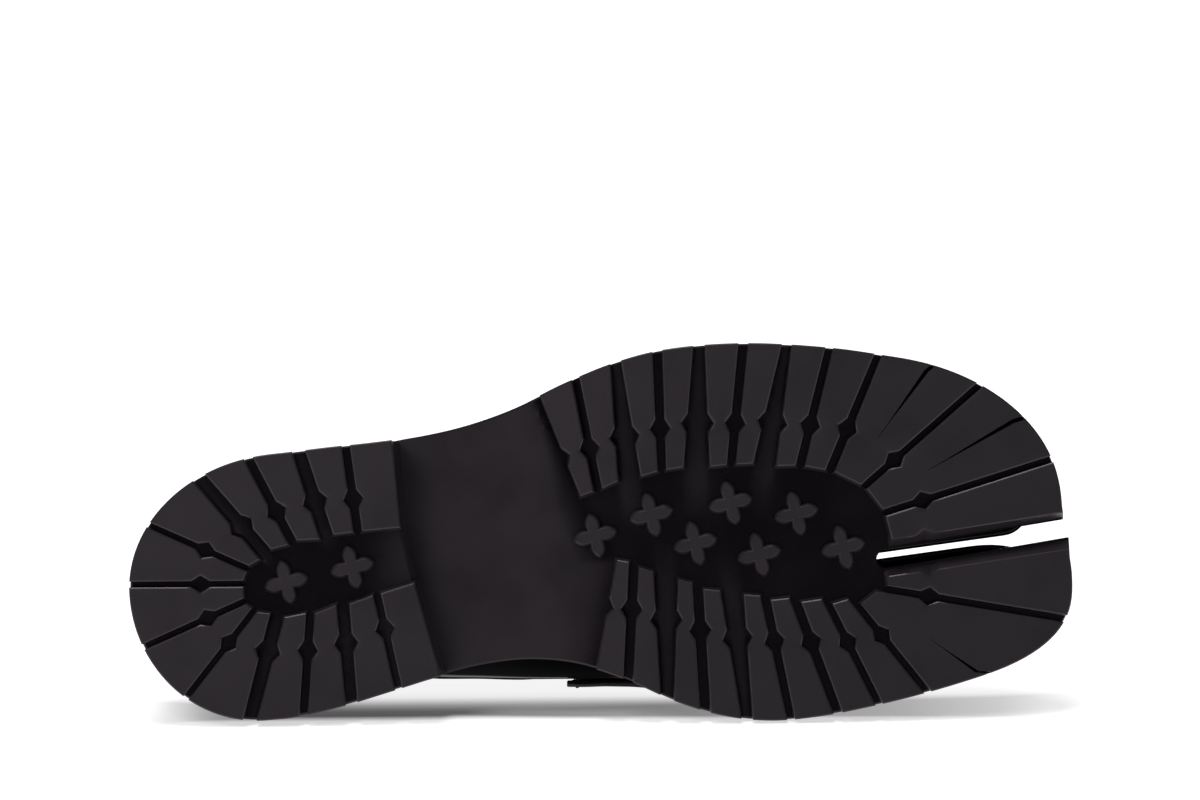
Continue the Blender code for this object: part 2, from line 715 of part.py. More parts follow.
def upper_stations(side):
    """X places of the upper's sections: close together at heel, throat, cleft and toe tip."""
    back = UPPER_HEEL[side].tip
    angles = [math.pi / 2 * i / END_TURNS for i in range(END_TURNS + 1)]
    places = [HEEL_PLACES_END - (HEEL_PLACES_END - back) * math.cos(a) for a in angles]
    places += [*QUARTER_PLACES, THROAT_X, *VAMP_PLACES]
    places += [CLEFT_START + (SPLIT_END - CLEFT_START) * math.sin(math.radians(a)) for a in CLEFT_ANGLES]
    places += [SPLIT_END, *TOE_PLACES]
    tip = UPPER_TOE[side].tip
    places += [TIP_PLACES_START + (tip - TIP_PLACES_START) * math.sin(math.radians(a)) for a in TIP_ANGLES]
    return places, tip


def upper_mesh():
    """Two grids from feather line to middle, joined at the heel's back, along the vamp and at the tips."""
    points = []
    index = {}
    faces = []
    floor = set()
    for side in (MEDIAL, LATERAL):
        places, tip = upper_stations(side)
        for i, x in enumerate(places):
            top = collar_share(x)
            for j in range(ACROSS + 1):
                if i == 0 and side == LATERAL:
                    index[side, i, j] = index[MEDIAL, i, j]
                    continue
                index[side, i, j] = len(points)
                points.append(surface(side, x, top * j / ACROSS))
                if j == 0 or (j == ACROSS and x >= SPLIT_END):
                    floor.add(len(points) - 1)
        pole = len(points)
        points.append(Vector((tip, UPPER_TOE[side].centre, feather(tip))))
        floor.add(pole)
        last = len(places) - 1
        for i in range(last + 1):
            for j in range(ACROSS):
                face = (index[side, i, j], index[side, i, j + 1])
                face += (pole,) if i == last else (index[side, i + 1, j + 1], index[side, i + 1, j])
                faces.append(face if side == MEDIAL else face[::-1])
    for i, x in enumerate(places[:-1]):
        if THROAT_X <= x < SPLIT_END:
            a, b = index[MEDIAL, i, ACROSS], index[LATERAL, i, ACROSS]
            faces.append((a, b, index[LATERAL, i + 1, ACROSS], index[MEDIAL, i + 1, ACROSS]))
    inner = []
    for i, normal in enumerate(sheet_normals(points, faces)):
        if i in floor:
            normal.z = 0
            normal.normalize()
        inner.append(points[i] - normal * WALL)
    bm = bmesh.new()
    shell(bm, points, inner, faces)
    return bm


def band_mesh(columns, rows, place, near, far, hole=()):
    """Wall on the upper: place gives point and normal by column and row, near and far its depths."""
    outer, inner, faces = [], [], []
    for i in range(columns + 1):
        for j in range(rows + 1):
            point, normal = place(i, j)
            outer.append(point + normal * far)
            inner.append(point + normal * near)
    for i in range(columns):
        for j in range(rows):
            if (i, j) not in hole:
                a = i * (rows + 1) + j
                faces.append((a, a + rows + 1, a + rows + 2, a + 1))
    bm = bmesh.new()
    shell(bm, outer, inner, faces)
    return bm


def strap_mesh():
    """Band over the instep with a slot at its middle; its ends are cut off on the quarters."""
    def place(i, j):
        side = MEDIAL if i <= ACROSS else LATERAL
        share = i / ACROSS if side == MEDIAL else (2 * ACROSS + 1 - i) / ACROSS
        s = STRAP_END + (1 - STRAP_END) * share
        rear = STRAP_REAR[0] + (STRAP_REAR[1] - STRAP_REAR[0]) * share
        front = STRAP_FRONT[0] + (STRAP_FRONT[1] - STRAP_FRONT[0]) * share
        x = rear + (front - rear) * j / STRAP_ACROSS
        return surface(side, x, s), surface_normal(side, x, s)

    hole = {(i, j) for i in range(ACROSS - SLOT_REACH, ACROSS + SLOT_REACH + 1) for j in range(*SLOT_ROWS)}
    return band_mesh(2 * ACROSS + 1, STRAP_ACROSS, place, STRAP_CLEAR, STRAP_CLEAR + STRAP_THICK, hole)


def tongue_mesh():
    """Tab under the vamp: it follows the vamp's inside, then leaves the throat on a straight slope."""
    def place(i, j):
        turn = 1 - 2 * i / TONGUE_COLUMNS
        side = MEDIAL if turn >= 0 else LATERAL
        x = TONGUE_TIP + (TONGUE_TUCK - TONGUE_TIP) * j / TONGUE_ROWS
        narrow = superellipse((TONGUE_TIP + TONGUE_ROUND - x) / TONGUE_BLUNT, TONGUE_POWER)
        s = 1 - (1 - TONGUE_SIDE) * abs(turn) * narrow
        on_vamp = max(x, THROAT_X)
        point = surface(side, on_vamp, s)
        if turn == 0:
            point = (point + surface(LATERAL, on_vamp, s)) / 2
        shift = x - on_vamp
        point += Vector((shift, 0, TONGUE_SLOPE * shift))
        return point, surface_normal(side, on_vamp, s)

    top = -WALL - TONGUE_CLEAR
    return band_mesh(TONGUE_COLUMNS, TONGUE_ROWS, place, top - TONGUE_THICK, top)


# The lying pose

def centre_of_mass(pieces):
    """Volume centre of each piece weighted by its density."""
    total = Vector((0, 0, 0))
    mass = 0.0
    for bm, density in pieces:
        for face in bm.calc_loop_triangles():
            a, b, c = (loop.vert.co for loop in face)
            volume = a.dot(b.cross(c)) / 6
            total += (a + b + c) * (volume * density / 4)
            mass += volume * density
    return total / mass


def resting_normal(points, centre):
    """Outward normal of the hull's facet, on the medial side, that the centre of mass stands over."""
    hull = bmesh.new()
    for p in points:
        hull.verts.new(p)
    bmesh.ops.convex_hull(hull, input=hull.verts)
    best = None
    for face in hull.faces:
        normal = face.normal if face.normal.dot(face.verts[0].co - centre) > 0 else -face.normal
        corners = [v.co for v in face.verts]
        spins = [normal.dot((q - p).cross(centre - p)) for p, q in zip(corners, corners[1:] + corners[:1])]
        if max(spins) * min(spins) >= 0 and (best is None or normal.y > best.y):
            best = normal.copy()
    hull.free()
    return best


def lying_matrix(points, centre):
    """Turn that puts the resting facet on the floor, tread facing -Y, origin under the box's middle."""
    up = -resting_normal(points, centre)
    sole = Vector((0, 0, -1))
    back = -(sole - up * sole.dot(up)).normalized()
    turn = Matrix((back.cross(up), back, up))
    turned = np.array([turn @ p for p in points])
    low, high = turned.min(axis=0), turned.max(axis=0)
    shift = Vector(((low[0] + high[0]) / 2, (low[1] + high[1]) / 2, low[2])) * -MM
    return Matrix.Translation(shift) @ turn.to_4x4()


def material(name, finish):
    shade = bpy.data.materials.new(name)
    shade.use_nodes = True
    shader = shade.node_tree.nodes["Principled BSDF"]
    shader.inputs["Base Color"].default_value = finish.colour
    shader.inputs["Roughness"].default_value = finish.roughness
    shader.inputs["Metallic"].default_value = 0.0
    return shade


Piece = namedtuple("Piece", "name make density finish sharp")
PIECES = (
    Piece("outsole", outsole_mesh, RUBBER_DENSITY, BLACK_RUBBER, 30),
    Piece("heel_block", heel_mesh, RUBBER_DENSITY, BLACK_RUBBER, 30),
    Piece("midsole", midsole_mesh, RUBBER_DENSITY, EDGE_BLACK, 40),
    Piece("insole", insole_mesh, LEATHER_DENSITY, FOOTBED_LEATHER, 40),
    Piece("upper", upper_mesh, LEATHER_DENSITY, GLOSS_LEATHER, 60),
    Piece("saddle_strap", strap_mesh, LEATHER_DENSITY, GLOSS_LEATHER, 50),
    Piece("tongue", tongue_mesh, LEATHER_DENSITY, GLOSS_LEATHER, 50),
)


def main():
    for obj in list(bpy.data.objects):
        bpy.data.objects.remove(obj)
    made = [(piece, piece.make()) for piece in PIECES]
    points = [v.co.copy() for _, bm in made for v in bm.verts]
    lying = bpy.data.objects.new("lying_on_medial_side", None)
    bpy.context.collection.objects.link(lying)
    lying.matrix_world = lying_matrix(points, centre_of_mass([(bm, piece.density) for piece, bm in made]))
    for piece, bm in made:
        bmesh.ops.scale(bm, vec=(MM, MM, MM), verts=bm.verts)
        obj = new_object(piece.name, bm)
        obj.data.materials.append(material(piece.name, piece.finish))
        obj.data.shade_smooth()
        obj.data.set_sharp_from_angle(angle=math.radians(piece.sharp))
        obj.parent = lying


main()
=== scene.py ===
"""Looks of a right-foot tabi loafer with a lugged rubber sole, lying on its medial side.

Shapes are worked out in millimetres on the standing shoe: X runs from the heel to the toe, Y to the medial
side and Z up from the ground. Two flat spots of the tread, known in both frames, then carry each shape to the
lying shoe in metres.
"""
import json
import math
from collections import namedtuple

import bmesh
import bpy
import numpy as np
from bpy.props import FloatProperty, PointerProperty, StringProperty
from mathutils import Matrix, Vector


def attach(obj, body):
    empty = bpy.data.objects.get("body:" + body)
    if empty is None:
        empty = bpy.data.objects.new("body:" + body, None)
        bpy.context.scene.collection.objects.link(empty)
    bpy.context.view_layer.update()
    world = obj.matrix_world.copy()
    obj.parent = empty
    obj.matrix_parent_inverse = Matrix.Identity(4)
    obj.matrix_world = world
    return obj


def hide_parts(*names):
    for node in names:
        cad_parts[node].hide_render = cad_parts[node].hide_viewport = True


bl_info = {
    "name": "Tabi Loafer",
    "version": (1, 0, 0),
    "blender": (4, 5, 0),
    "location": "View3D > Sidebar > Shoe",
    "description": "Dresses the solids of a lug-soled tabi loafer",
    "category": "Object",
}

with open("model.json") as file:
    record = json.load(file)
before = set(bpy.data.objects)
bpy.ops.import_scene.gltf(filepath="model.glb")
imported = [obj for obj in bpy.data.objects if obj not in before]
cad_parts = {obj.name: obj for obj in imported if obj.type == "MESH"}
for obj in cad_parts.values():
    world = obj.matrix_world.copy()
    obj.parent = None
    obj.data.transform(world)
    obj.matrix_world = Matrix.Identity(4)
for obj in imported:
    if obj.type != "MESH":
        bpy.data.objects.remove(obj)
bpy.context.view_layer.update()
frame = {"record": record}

MM = 0.001
MEDIAL = 1
LATERAL = -1

# Heights of the layers, and the curve that the whole sole follows
GAP = 0.3
LUG_DEPTH = 5.0
LUG_ROOT = 1.5
STUD_HEIGHT = 4.4
OUTSOLE_THICK = 6.0
MIDSOLE_THICK = 4.0
INSOLE_THICK = 2.5
HEEL_LIFT = 22.0
TOE_SPRING = 9.0
SEAT_X = 35.0
BALL_X = 172.0
SPRING_X = 205.0
TOE_X = 298.0

# Half widths of the sole from its long axis, before the round ends close them
Width = namedtuple("Width", "x lateral medial")
SOLE_WIDTHS = (
    Width(40, 40.1, 43.8),
    Width(50, 40.2, 43.4),
    Width(65, 41.1, 40.9),
    Width(80, 41.8, 37.3),
    Width(95, 43.0, 33.6),
    Width(110, 45.6, 30.7),
    Width(125, 50.0, 29.9),
    Width(140, 56.3, 32.2),
    Width(155, 61.6, 38.0),
    Width(170, 65.0, 45.7),
    Width(185, 66.1, 51.2),
    Width(200, 65.8, 53.6),
    Width(215, 64.3, 53.2),
    Width(230, 62.0, 51.3),
    Width(245, 58.8, 48.7),
    Width(260, 55.6, 45.4),
    Width(290, 49.3, 37.8),
    Width(305, 46.2, 34.0),
)

# A round end: from start to tip the side closes on the line y = centre as a superellipse
End = namedtuple("End", "start tip centre power")
HEEL_CENTRE = 1.5
SOLE_HEEL = {LATERAL: End(50, 0, HEEL_CENTRE, 2.0), MEDIAL: End(40, 0, HEEL_CENTRE, 2.0)}
SOLE_TOE = {LATERAL: End(245, 295.7, -8, 2.35), MEDIAL: End(262, 297.5, 12, 3.1)}
UPPER_HEEL = {LATERAL: End(50, 6, HEEL_CENTRE, 2.1), MEDIAL: End(44, 6, HEEL_CENTRE, 2.1)}
UPPER_TOE = {LATERAL: End(238, 287.0, -15, 2.3), MEDIAL: End(254, 289.5, 16, 2.6)}
INSOLE_TOE = {LATERAL: End(234, 281.0, -17, 2.2), MEDIAL: End(250, 283.5, 18, 2.2)}

# The split between the big toe and the others, from its end to its mouth along X: where its straight centre
# line stands at both, and its half width
Place = namedtuple("Place", "x y")
Split = namedtuple("Split", "end_y mouth_y half")
SPLIT_END = 236.0
SPLIT_MOUTH = 296.0
OUTSOLE_SPLIT = Split(5.2, -1.2, 2.95)
MIDSOLE_SPLIT = Split(5.2, -1.2, 3.3)
UPPER_SPLIT = Split(4.0, -0.6, 0.9)

# How far each layer's edge stands inside the tread's outline: the heel flares, the forefoot is upright
Inset = namedtuple("Inset", "heel fore")
TREAD_INSET = Inset(0.0, 0.0)
BLOCK_INSET = Inset(0.3, 0.3)
OUTSOLE_FOOT = Inset(3.2, 0.25)
OUTSOLE_INSET = Inset(3.2, 0.75)
MIDSOLE_INSET = Inset(3.8, 2.2)
FLARE_FROM = 92.0
FLARE_TO = 62.0

# Grooves between lugs, in order round the sole against the clock as seen from above. The root is the end
# at the middle of the sole and the mouth the end at its edge; notch is the place of the diamond on the way
Groove = namedtuple("Groove", "root_x root_y mouth_x mouth_y root_w mouth_w notch")
FORE_LATERAL = (
    Groove(144.4, -19.8, 133.4, -52.4, 0, 0, 0.42),
    Groove(149.7, -21.3, 144.8, -57.2, 3.0, 2.6, 0.40),
    Groove(159.8, -24.4, 157.7, -61.3, 7.6, 3.7, 0.39),
    Groove(170.1, -26.3, 171.0, -64.9, 2.8, 3.2, 0.37),
    Groove(181.1, -26.8, 184.2, -65.9, 8.6, 3.8, 0.38),
    Groove(191.9, -26.8, 198.2, -65.6, 2.9, 3.2, 0.36),
    Groove(202.4, -26.2, 211.9, -64.6, 7.6, 3.2, 0.37),
    Groove(213.5, -25.2, 225.3, -63.0, 3.0, 2.5, 0.36),
    Groove(222.6, -23.0, 240.5, -59.6, 3.0, 2.5, 0.38),
    Groove(232.7, -17.7, 271.6, -47.9, 2.3, 2.2, 0.28),
    Groove(238.6, -9.5, 291.5, -22.9, 2.3, 2.2, 0.25),
    Groove(240.3, -0.9, 295.6, -6.2, 0, 0, 0.21),
)
FORE_MEDIAL = (
    Groove(240.0, 10.3, 296.6, 5.1, 0, 0, 0.22),
    Groove(237.7, 14.2, 294.3, 27.2, 2.4, 2.3, 0.25),
    Groove(227.8, 17.0, 249.3, 47.2, 2.3, 2.2, 0.39),
    Groove(219.6, 16.9, 234.0, 50.4, 2.4, 2.3, 0.40),
    Groove(209.5, 15.5, 220.9, 52.5, 3.2, 2.9, 0.38),
    Groove(200.3, 14.5, 206.0, 53.5, 3.0, 2.5, 0.36),
    Groove(189.9, 12.2, 192.2, 52.2, 7.4, 3.6, 0.37),
    Groove(179.2, 9.4, 179.2, 49.2, 3.4, 3.4, 0.36),
    Groove(169.4, 5.6, 167.5, 44.1, 8.0, 4.4, 0.37),
    Groove(159.6, 0.9, 155.5, 38.3, 3.3, 3.3, 0.40),
    Groove(154.4, -0.5, 145.9, 33.3, 0, 0, 0.45),
)
HEEL_RING = (
    Groove(89.9, 3.1, 96.4, 33.0, 0, 0, 0),
    Groove(78.0, 6.0, 83.0, 36.4, 2.5, 2.4, 0.37),
    Groove(67.1, 8.5, 67.9, 39.8, 4.2, 3.9, 0.40),
    Groove(56.7, 10.7, 52.5, 43.5, 2.8, 2.8, 0.36),
    Groove(46.3, 10.7, 35.6, 43.2, 4.8, 4.4, 0.35),
    Groove(39.3, 8.6, 16.0, 35.0, 2.1, 2.0, 0.38),
    Groove(36.6, 5.7, 3.3, 18.4, 2.1, 2.0, 0.37),
    Groove(36.3, 0.3, 0.4, -1.6, 2.0, 1.9, 0.38),
    Groove(37.9, -4.3, 7.5, -20.0, 2.0, 1.9, 0.43),
    Groove(43.8, -8.4, 24.5, -33.6, 4.8, 4.4, 0.37),
    Groove(52.5, -11.6, 40.2, -38.9, 3.0, 2.9, 0.37),
    Groove(63.3, -12.7, 56.0, -40.7, 4.6, 4.3, 0.41),
    Groove(73.2, -13.7, 71.0, -41.5, 2.9, 2.7, 0.38),
    Groove(86.6, -14.2, 85.6, -41.6, 0, 0, 0),
)
NOTCH_HALF = 3.0
NOTCH_DEPTH = 1.8
PLAIN_NOTCH = 0.38

# Short tapered cuts from the edge into the long lugs of the toes, their width at the edge and at the tip,
# the height of their floor over the hollow, the power by which they deepen, and the shares across a lug that
# they keep to
Sipe = namedtuple("Sipe", "mouth_x mouth_y tip_x tip_y")
SIPES = (
    Sipe(256.8, -54.5, 240.5, -35.5),
    Sipe(284.8, -36.9, 254.5, -22.4),
    Sipe(268.9, 42.7, 252.5, 31.2),
)
SIPE_WIDTH = 1.8
SIPE_TIP = 0.2
SIPE_FLOOR = 0.8
SIPE_PLUNGE = 0.4
SIPE_SHARES = (0.1, 0.9)

# Cross-shaped studs in the hollow middle of forefoot and heel
FORE_STUDS = (
    Place(147.9, -8.0),
    Place(166.0, -13.6),
    Place(191.2, -15.8),
    Place(211.7, -11.2),
    Place(179.3, -3.7),
    Place(199.2, 1.0),
    Place(225.8, 0.4),
)
HEEL_STUDS = (Place(49.7, 0.7), Place(70.8, -2.8))
STUD_TURN = -10.5
# One half of a stud's leaf: distance from the stud's centre by angle from the leaf's own line
Leaf = namedtuple("Leaf", "x radius")
STUD_LEAF = (Leaf(0, 6.75), Leaf(5, 6.5), Leaf(10, 6.1), Leaf(19, 5.3), Leaf(26, 4.5), Leaf(35, 3.4),
             Leaf(45, 2.75))

# The heel's front face, from the lateral to the medial edge, and how far it leans forward going up
BREAST = (Place(85.6, -41.3), Place(86.7, -14.4), Place(89.8, 3.3), Place(96.4, 33.0))
BREAST_LEAN = 2.2

# Cross-sections of the upper. The margin is the welt left round the feather line, the bulge is how far the
# wall swells past that line, crest is the height of the arch (above the collar, of the arch that it cuts
# short) and ridge is where the arch peaks across the shoe
Section = namedtuple("Section", "x lateral_margin medial_margin lateral_bulge medial_bulge crest ridge")
SECTIONS = (
    Section(0, 6.8, 8.2, 2.0, 1.5, 108, 1.5),
    Section(50, 6.8, 8.2, 2.0, 1.5, 110, 1.5),
    Section(80, 6.8, 7.0, 1.5, 5.4, 124, 2),
    Section(95, 6.8, 5.6, 1.5, 10.4, 136, 3),
    Section(110, 7.0, 4.6, 1.0, 13.8, 138, 4),
    Section(125, 8.5, 4.4, 0.5, 15.4, 120, 5),
    Section(140, 10.0, 4.6, 0.0, 13.8, 97, 6),
    Section(150, 10.0, 5.0, 0.0, 10.6, 87, 6.5),
    Section(170, 9.0, 6.2, 0.0, 4.0, 76, 7.5),
    Section(190, 8.5, 7.0, 0.5, 1.5, 67.5, 7.5),
    Section(205, 8.2, 7.3, 0.8, 1.0, 64, 6.5),
    Section(215, 8.0, 7.5, 1.0, 1.0, 62.5, 6),
    Section(225, 8.0, 7.2, 1.0, 1.0, 59, 5),
    Section(236, 8.0, 7.0, 1.0, 1.0, 54.5, 4),
    Section(260, 8.0, 7.0, 1.0, 1.0, 50.5, 2),
    Section(290, 8.0, 7.0, 1.0, 1.0, 47, 0),
)
WALL = 2.0

# Powers of the arch and of the toes, across and up, how high the bulge reaches in s, and from where it fades
# towards the toe
ARCH_SIDE = 0.60
ARCH_TOP = 0.85
TOE_SIDE = 0.66
TOE_TOP = 0.66
BULGE_SPAN = 0.45
SWELL_FADE = 245.0

# The cleft: where the arch starts to part into two toes, at the middle and on the walls, how closely the
# parting keeps to the middle, how steep it is there, how it eases away from it, and how late it comes there
CLEFT_START = 204.0
LOBE_START = 192.0
CLEFT_POWER = 4
CLEFT_EDGE = 0.5
CLEFT_EASE = 4.5
CLEFT_LATE = 14.0

# The toes' round ends: lengths over which the inner side turns in and the top drops, and the power of both
TOE_ROUND = {LATERAL: 10.0, MEDIAL: 24.0}
TOE_DROP = 34.0
TOE_POWER = 2.2

# The topline in side view, the throat at its front, and the heel's back curve: a shift of X by height above
# the feather line, which fades out over its reach
Collar = namedtuple("Collar", "x z")
COLLAR = (
    Collar(6, 99),
    Collar(30, 94),
    Collar(55, 86),
    Collar(80, 80),
    Collar(105, 78),
    Collar(125, 80.5),
    Collar(140, 84.5),
    Collar(150, 87),
)
THROAT_X = 150.0
BackCurve = namedtuple("BackCurve", "x shift")
BACK_CURVE = (BackCurve(0, 0.0), BackCurve(20, -2.5), BackCurve(40, -1.0), BackCurve(62, 4.5))
BACK_REACH = 60.0

# The strap across the instep: the s of its cut ends, its rear and front edge there and at the crest, and
# its cut-out
STRAP_END = 0.3
STRAP_REAR = (136.0, 152.0)
STRAP_FRONT = (174.0, 178.0)
STRAP_THICK = 2.1
STRAP_CLEAR = 0.45
SLOT_ACROSS = (1 / 3, 2 / 3)
SLOT_REACH = 6 / 14

# The tongue: a tab under the vamp that leaves the throat at this slope. Its ends along X, its thickness, its
# clearance under the vamp, the s of its sides, and the superellipse that rounds its free end
TONGUE_TIP = 116.0
TONGUE_TUCK = 166.0
TONGUE_SLOPE = -0.46
TONGUE_THICK = 2.0
TONGUE_CLEAR = 0.8
TONGUE_SIDE = 0.66
TONGUE_ROUND = 14.0
TONGUE_BLUNT = 15.1
TONGUE_POWER = 2.4

# The two flat spots of the tread that the record's mounts name, as points of the standing shoe
HEEL_SPOT = (60.0, 27.0, 0.0)
FORE_SPOT = (189.5, -48.0, 0.0)

# The photograph's frame: its size, its scale on the tread, the shoe point at its centre and the shoe's slant
PHOTO_WIDTH_PX = 1200
PHOTO_PX_PER_MM = 3.17
PHOTO_CENTRE = (152.0, -50.7, 0.0)
PHOTO_SLANT = 3.5


# Small tools for curves, on whole arrays

# Keeps a divisor from being nothing
TINY = 1e-9


def smoothstep(low, high, x):
    """Cubic ease from 0 at low to 1 at high."""
    t = np.clip((x - low) / (high - low), 0.0, 1.0)
    return t * t * (3 - 2 * t)


def closing(t, power):
    """Superellipse factor from 1 at t = 0 to 0 at t = 1: the power-th root of 1 minus t to that power."""
    return np.maximum(1 - np.clip(t, 0.0, 1.0) ** power, 0.0) ** (1 / power)


def curve(table, column):
    """Smooth curve through a table's column over its x, level beyond both ends.

    Between two rows it is the cubic with their values, and at each row the slope of the line through its
    two neighbours."""
    xs = np.array([row.x for row in table], float)
    ys = np.array([getattr(row, column) for row in table], float)
    number = np.arange(len(xs))
    low, high = np.maximum(number - 1, 0), np.minimum(number + 1, len(xs) - 1)
    slopes = (ys[high] - ys[low]) / (xs[high] - xs[low])

    def value(x):
        x = np.clip(x, xs[0], xs[-1])
        i = np.clip(np.searchsorted(xs, x, side="right") - 1, 0, len(xs) - 2)
        span = xs[i + 1] - xs[i]
        t = (x - xs[i]) / span
        rise_in, rise_out = slopes[i] * span, slopes[i + 1] * span
        chord = ys[i + 1] - ys[i]
        twist = rise_in + rise_out - 2 * chord
        return ys[i] + t * (rise_in + t * (chord - rise_in - twist + t * twist))

    return value


def rise(x):
    """Height of the outsole's underside: level at heel and ball, an eased climb between, a square-law toe."""
    climb = smoothstep(0, BALL_X - SEAT_X, BALL_X - x)
    spring = np.maximum(x - SPRING_X, 0.0) / (TOE_X - SPRING_X)
    return LUG_DEPTH + HEEL_LIFT * climb + TOE_SPRING * spring ** 2


def heel_floor(x):
    """Height of the heel's underside, which is level."""
    return np.full_like(x, LUG_DEPTH)


def feather(x):
    """Height of the line where the upper meets the midsole."""
    return rise(x) + OUTSOLE_THICK + MIDSOLE_THICK + 2 * GAP


SOLE_WIDTH = {LATERAL: curve(SOLE_WIDTHS, "lateral"), MEDIAL: curve(SOLE_WIDTHS, "medial")}
MARGIN = {LATERAL: curve(SECTIONS, "lateral_margin"), MEDIAL: curve(SECTIONS, "medial_margin")}
BULGE = {LATERAL: curve(SECTIONS, "lateral_bulge"), MEDIAL: curve(SECTIONS, "medial_bulge")}
CREST = curve(SECTIONS, "crest")
RIDGE = curve(SECTIONS, "ridge")
COLLAR_HEIGHT = curve(COLLAR, "z")
BACK_SHIFT = curve(BACK_CURVE, "shift")


def closed_side(side, x, reach, heel, toe, inset):
    """Y of a side at x: its half width less the inset, closed at both ends by superellipses."""
    share = smoothstep(FLARE_TO, FLARE_FROM, x)
    y = side * (reach - inset.heel - (inset.fore - inset.heel) * share)
    for end, tip in ((heel, heel.tip + inset.heel), (toe, toe.tip - inset.fore)):
        y = end.centre + (y - end.centre) * closing((x - end.start) / (tip - end.start), end.power)
    return y


def sole_edge(side, x, inset):
    """Y of the sole's edge on a side, inset from the tread's outline."""
    return closed_side(side, x, SOLE_WIDTH[side](x), SOLE_HEEL[side], SOLE_TOE[side], inset)


def feather_edge(side, x, inset=TREAD_INSET, toe=UPPER_TOE):
    """Y of the feather line on a side: the sole's half width less the welt's margin."""
    reach = SOLE_WIDTH[side](x) - MARGIN[side](x)
    return closed_side(side, x, reach, UPPER_HEEL[side], toe[side], inset)


def insole_edge(side, x, inset):
    """Y of the footbed's edge on a side: the feather line with shorter toes."""
    return feather_edge(side, x, inset, INSOLE_TOE)


def split_line(split, x):
    """Y of a toe split's straight centre line."""
    return split.end_y + (x - SPLIT_END) / (SPLIT_MOUTH - SPLIT_END) * (split.mouth_y - split.end_y)


# Meshes: a sheet is an array of points with its faces and one tread value for each point, which is 0 in the
# hollows of the rubber, painted near black as shade, 1 on its faces and 2 on its edges, painted paler partly
# as rubbed wear and partly as a highlight

# Points nearer than this are merged
MERGE = 0.002
Sheet = namedtuple("Sheet", "points quads caps tread")


def shoe_pose():
    """Turn and shift from the standing shoe to the frame, from the two flat spots of the tread."""
    mounts = {mount["name"]: mount for mount in frame["record"]["mounts"]}
    heel = np.array(mounts["heel_tread"]["pos_m"])
    run = np.array(mounts["forefoot_tread"]["pos_m"]) - heel
    up = -np.array(mounts["heel_tread"]["axis"])
    run -= up * run.dot(up)
    run /= np.linalg.norm(run)
    across = np.cross(up, run)
    angle = math.atan2(FORE_SPOT[1] - HEEL_SPOT[1], FORE_SPOT[0] - HEEL_SPOT[0])
    ahead = run * math.cos(angle) - across * math.sin(angle)
    medial = run * math.sin(angle) + across * math.cos(angle)
    turn = np.stack((ahead, medial, up), axis=1)
    return turn, heel - turn @ np.array(HEEL_SPOT) * MM


TURN, SHIFT = shoe_pose()


def to_frame(points):
    """Points of the standing shoe in millimetres, as points of the lying shoe in metres."""
    return np.asarray(points, float) @ TURN.T * MM + SHIFT


def grid_quads(rows, columns, wrap=False):
    """Corner numbers of the cells of a grid of points, row by row; wrap joins the last column to the
    first."""
    i, j = np.meshgrid(np.arange(rows - 1), np.arange(columns if wrap else columns - 1), indexing="ij")
    k = (j + 1) % columns
    cells = (i * columns + j, i * columns + k, (i + 1) * columns + k, (i + 1) * columns + j)
    return np.stack(cells, axis=-1).reshape(-1, 4)


def grid_sheet(points, tread=0.0, wrap=False, caps=(), keep=None):
    """Sheet from an array of rows of points; keep is a mask of the cells that become faces."""
    rows, columns = points.shape[:2]
    quads = grid_quads(rows, columns, wrap)
    if keep is not None:
        quads = quads[keep.reshape(-1)]
    tread = np.broadcast_to(tread, (rows, columns)).reshape(-1)
    return Sheet(points.reshape(-1, 3), quads, [list(cap) for cap in caps], tread)


def link_object(name, data):
    """New object with this data, in the scene."""
    made = bpy.data.objects.new(name, data)
    bpy.context.collection.objects.link(made)
    return made


def new_piece(name, sheets, materials, node=None, sharp=35.0, outward=True):
    """Object from sheets: points merged, faces turned outwards, shaded smooth up to the sharp angle."""
    starts = np.cumsum([0] + [len(sheet.points) for sheet in sheets])
    faces = []
    for sheet, start in zip(sheets, starts):
        faces += (sheet.quads + start).tolist()
        faces += [[corner + int(start) for corner in cap] for cap in sheet.caps]
    mesh = bpy.data.meshes.new(name)
    mesh.from_pydata(to_frame(np.concatenate([sheet.points for sheet in sheets])), [], faces)
    tread = mesh.attributes.new("tread", "FLOAT", "POINT")
    tread.data.foreach_set("value", np.concatenate([sheet.tread for sheet in sheets]).astype(np.float32))
    bm = bmesh.new()
    bm.from_mesh(mesh)
    bmesh.ops.remove_doubles(bm, verts=bm.verts, dist=MERGE * MM)
    bmesh.ops.dissolve_degenerate(bm, edges=bm.edges, dist=MERGE * MM)
    if outward:
        bmesh.ops.recalc_face_normals(bm, faces=bm.faces)
    bm.to_mesh(mesh)
    bm.free()
    mesh.shade_smooth()
    mesh.set_sharp_from_angle(angle=math.radians(sharp))
    for material in materials:
        mesh.materials.append(material)
    piece = link_object(name, mesh)
    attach(piece, "root")
    if node:
        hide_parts(node)
    return piece


def add_wall(piece, thickness, offset):
    """Thicken a sheet: against the side that its faces point to for an offset of -1, along it for 1."""
    wall = piece.modifiers.new("wall", "SOLIDIFY")
    wall.thickness = thickness * MM
    wall.offset = offset
    return wall


# Materials

# Sizes of the patterns in millimetres. A real shoe's mould grain, pores, nap and twist are too fine to show
# in the render, so they are drawn this coarse
RUBBER_CLOUD = 16.0
RUBBER_GRAIN = 0.7
EDGE_LAYERS = 2.2
CALF_PORES = 0.9
CALF_SWELL = 9.0
LINING_CLOUD = 22.0
THREAD_TWIST = 0.4
FLOOR_GRAIN = 3.0

# Numbers of a Mix node's sockets for colours
MIX_SHARE, MIX_FIRST, MIX_SECOND = 0, 6, 7
MIX_RESULT = 2


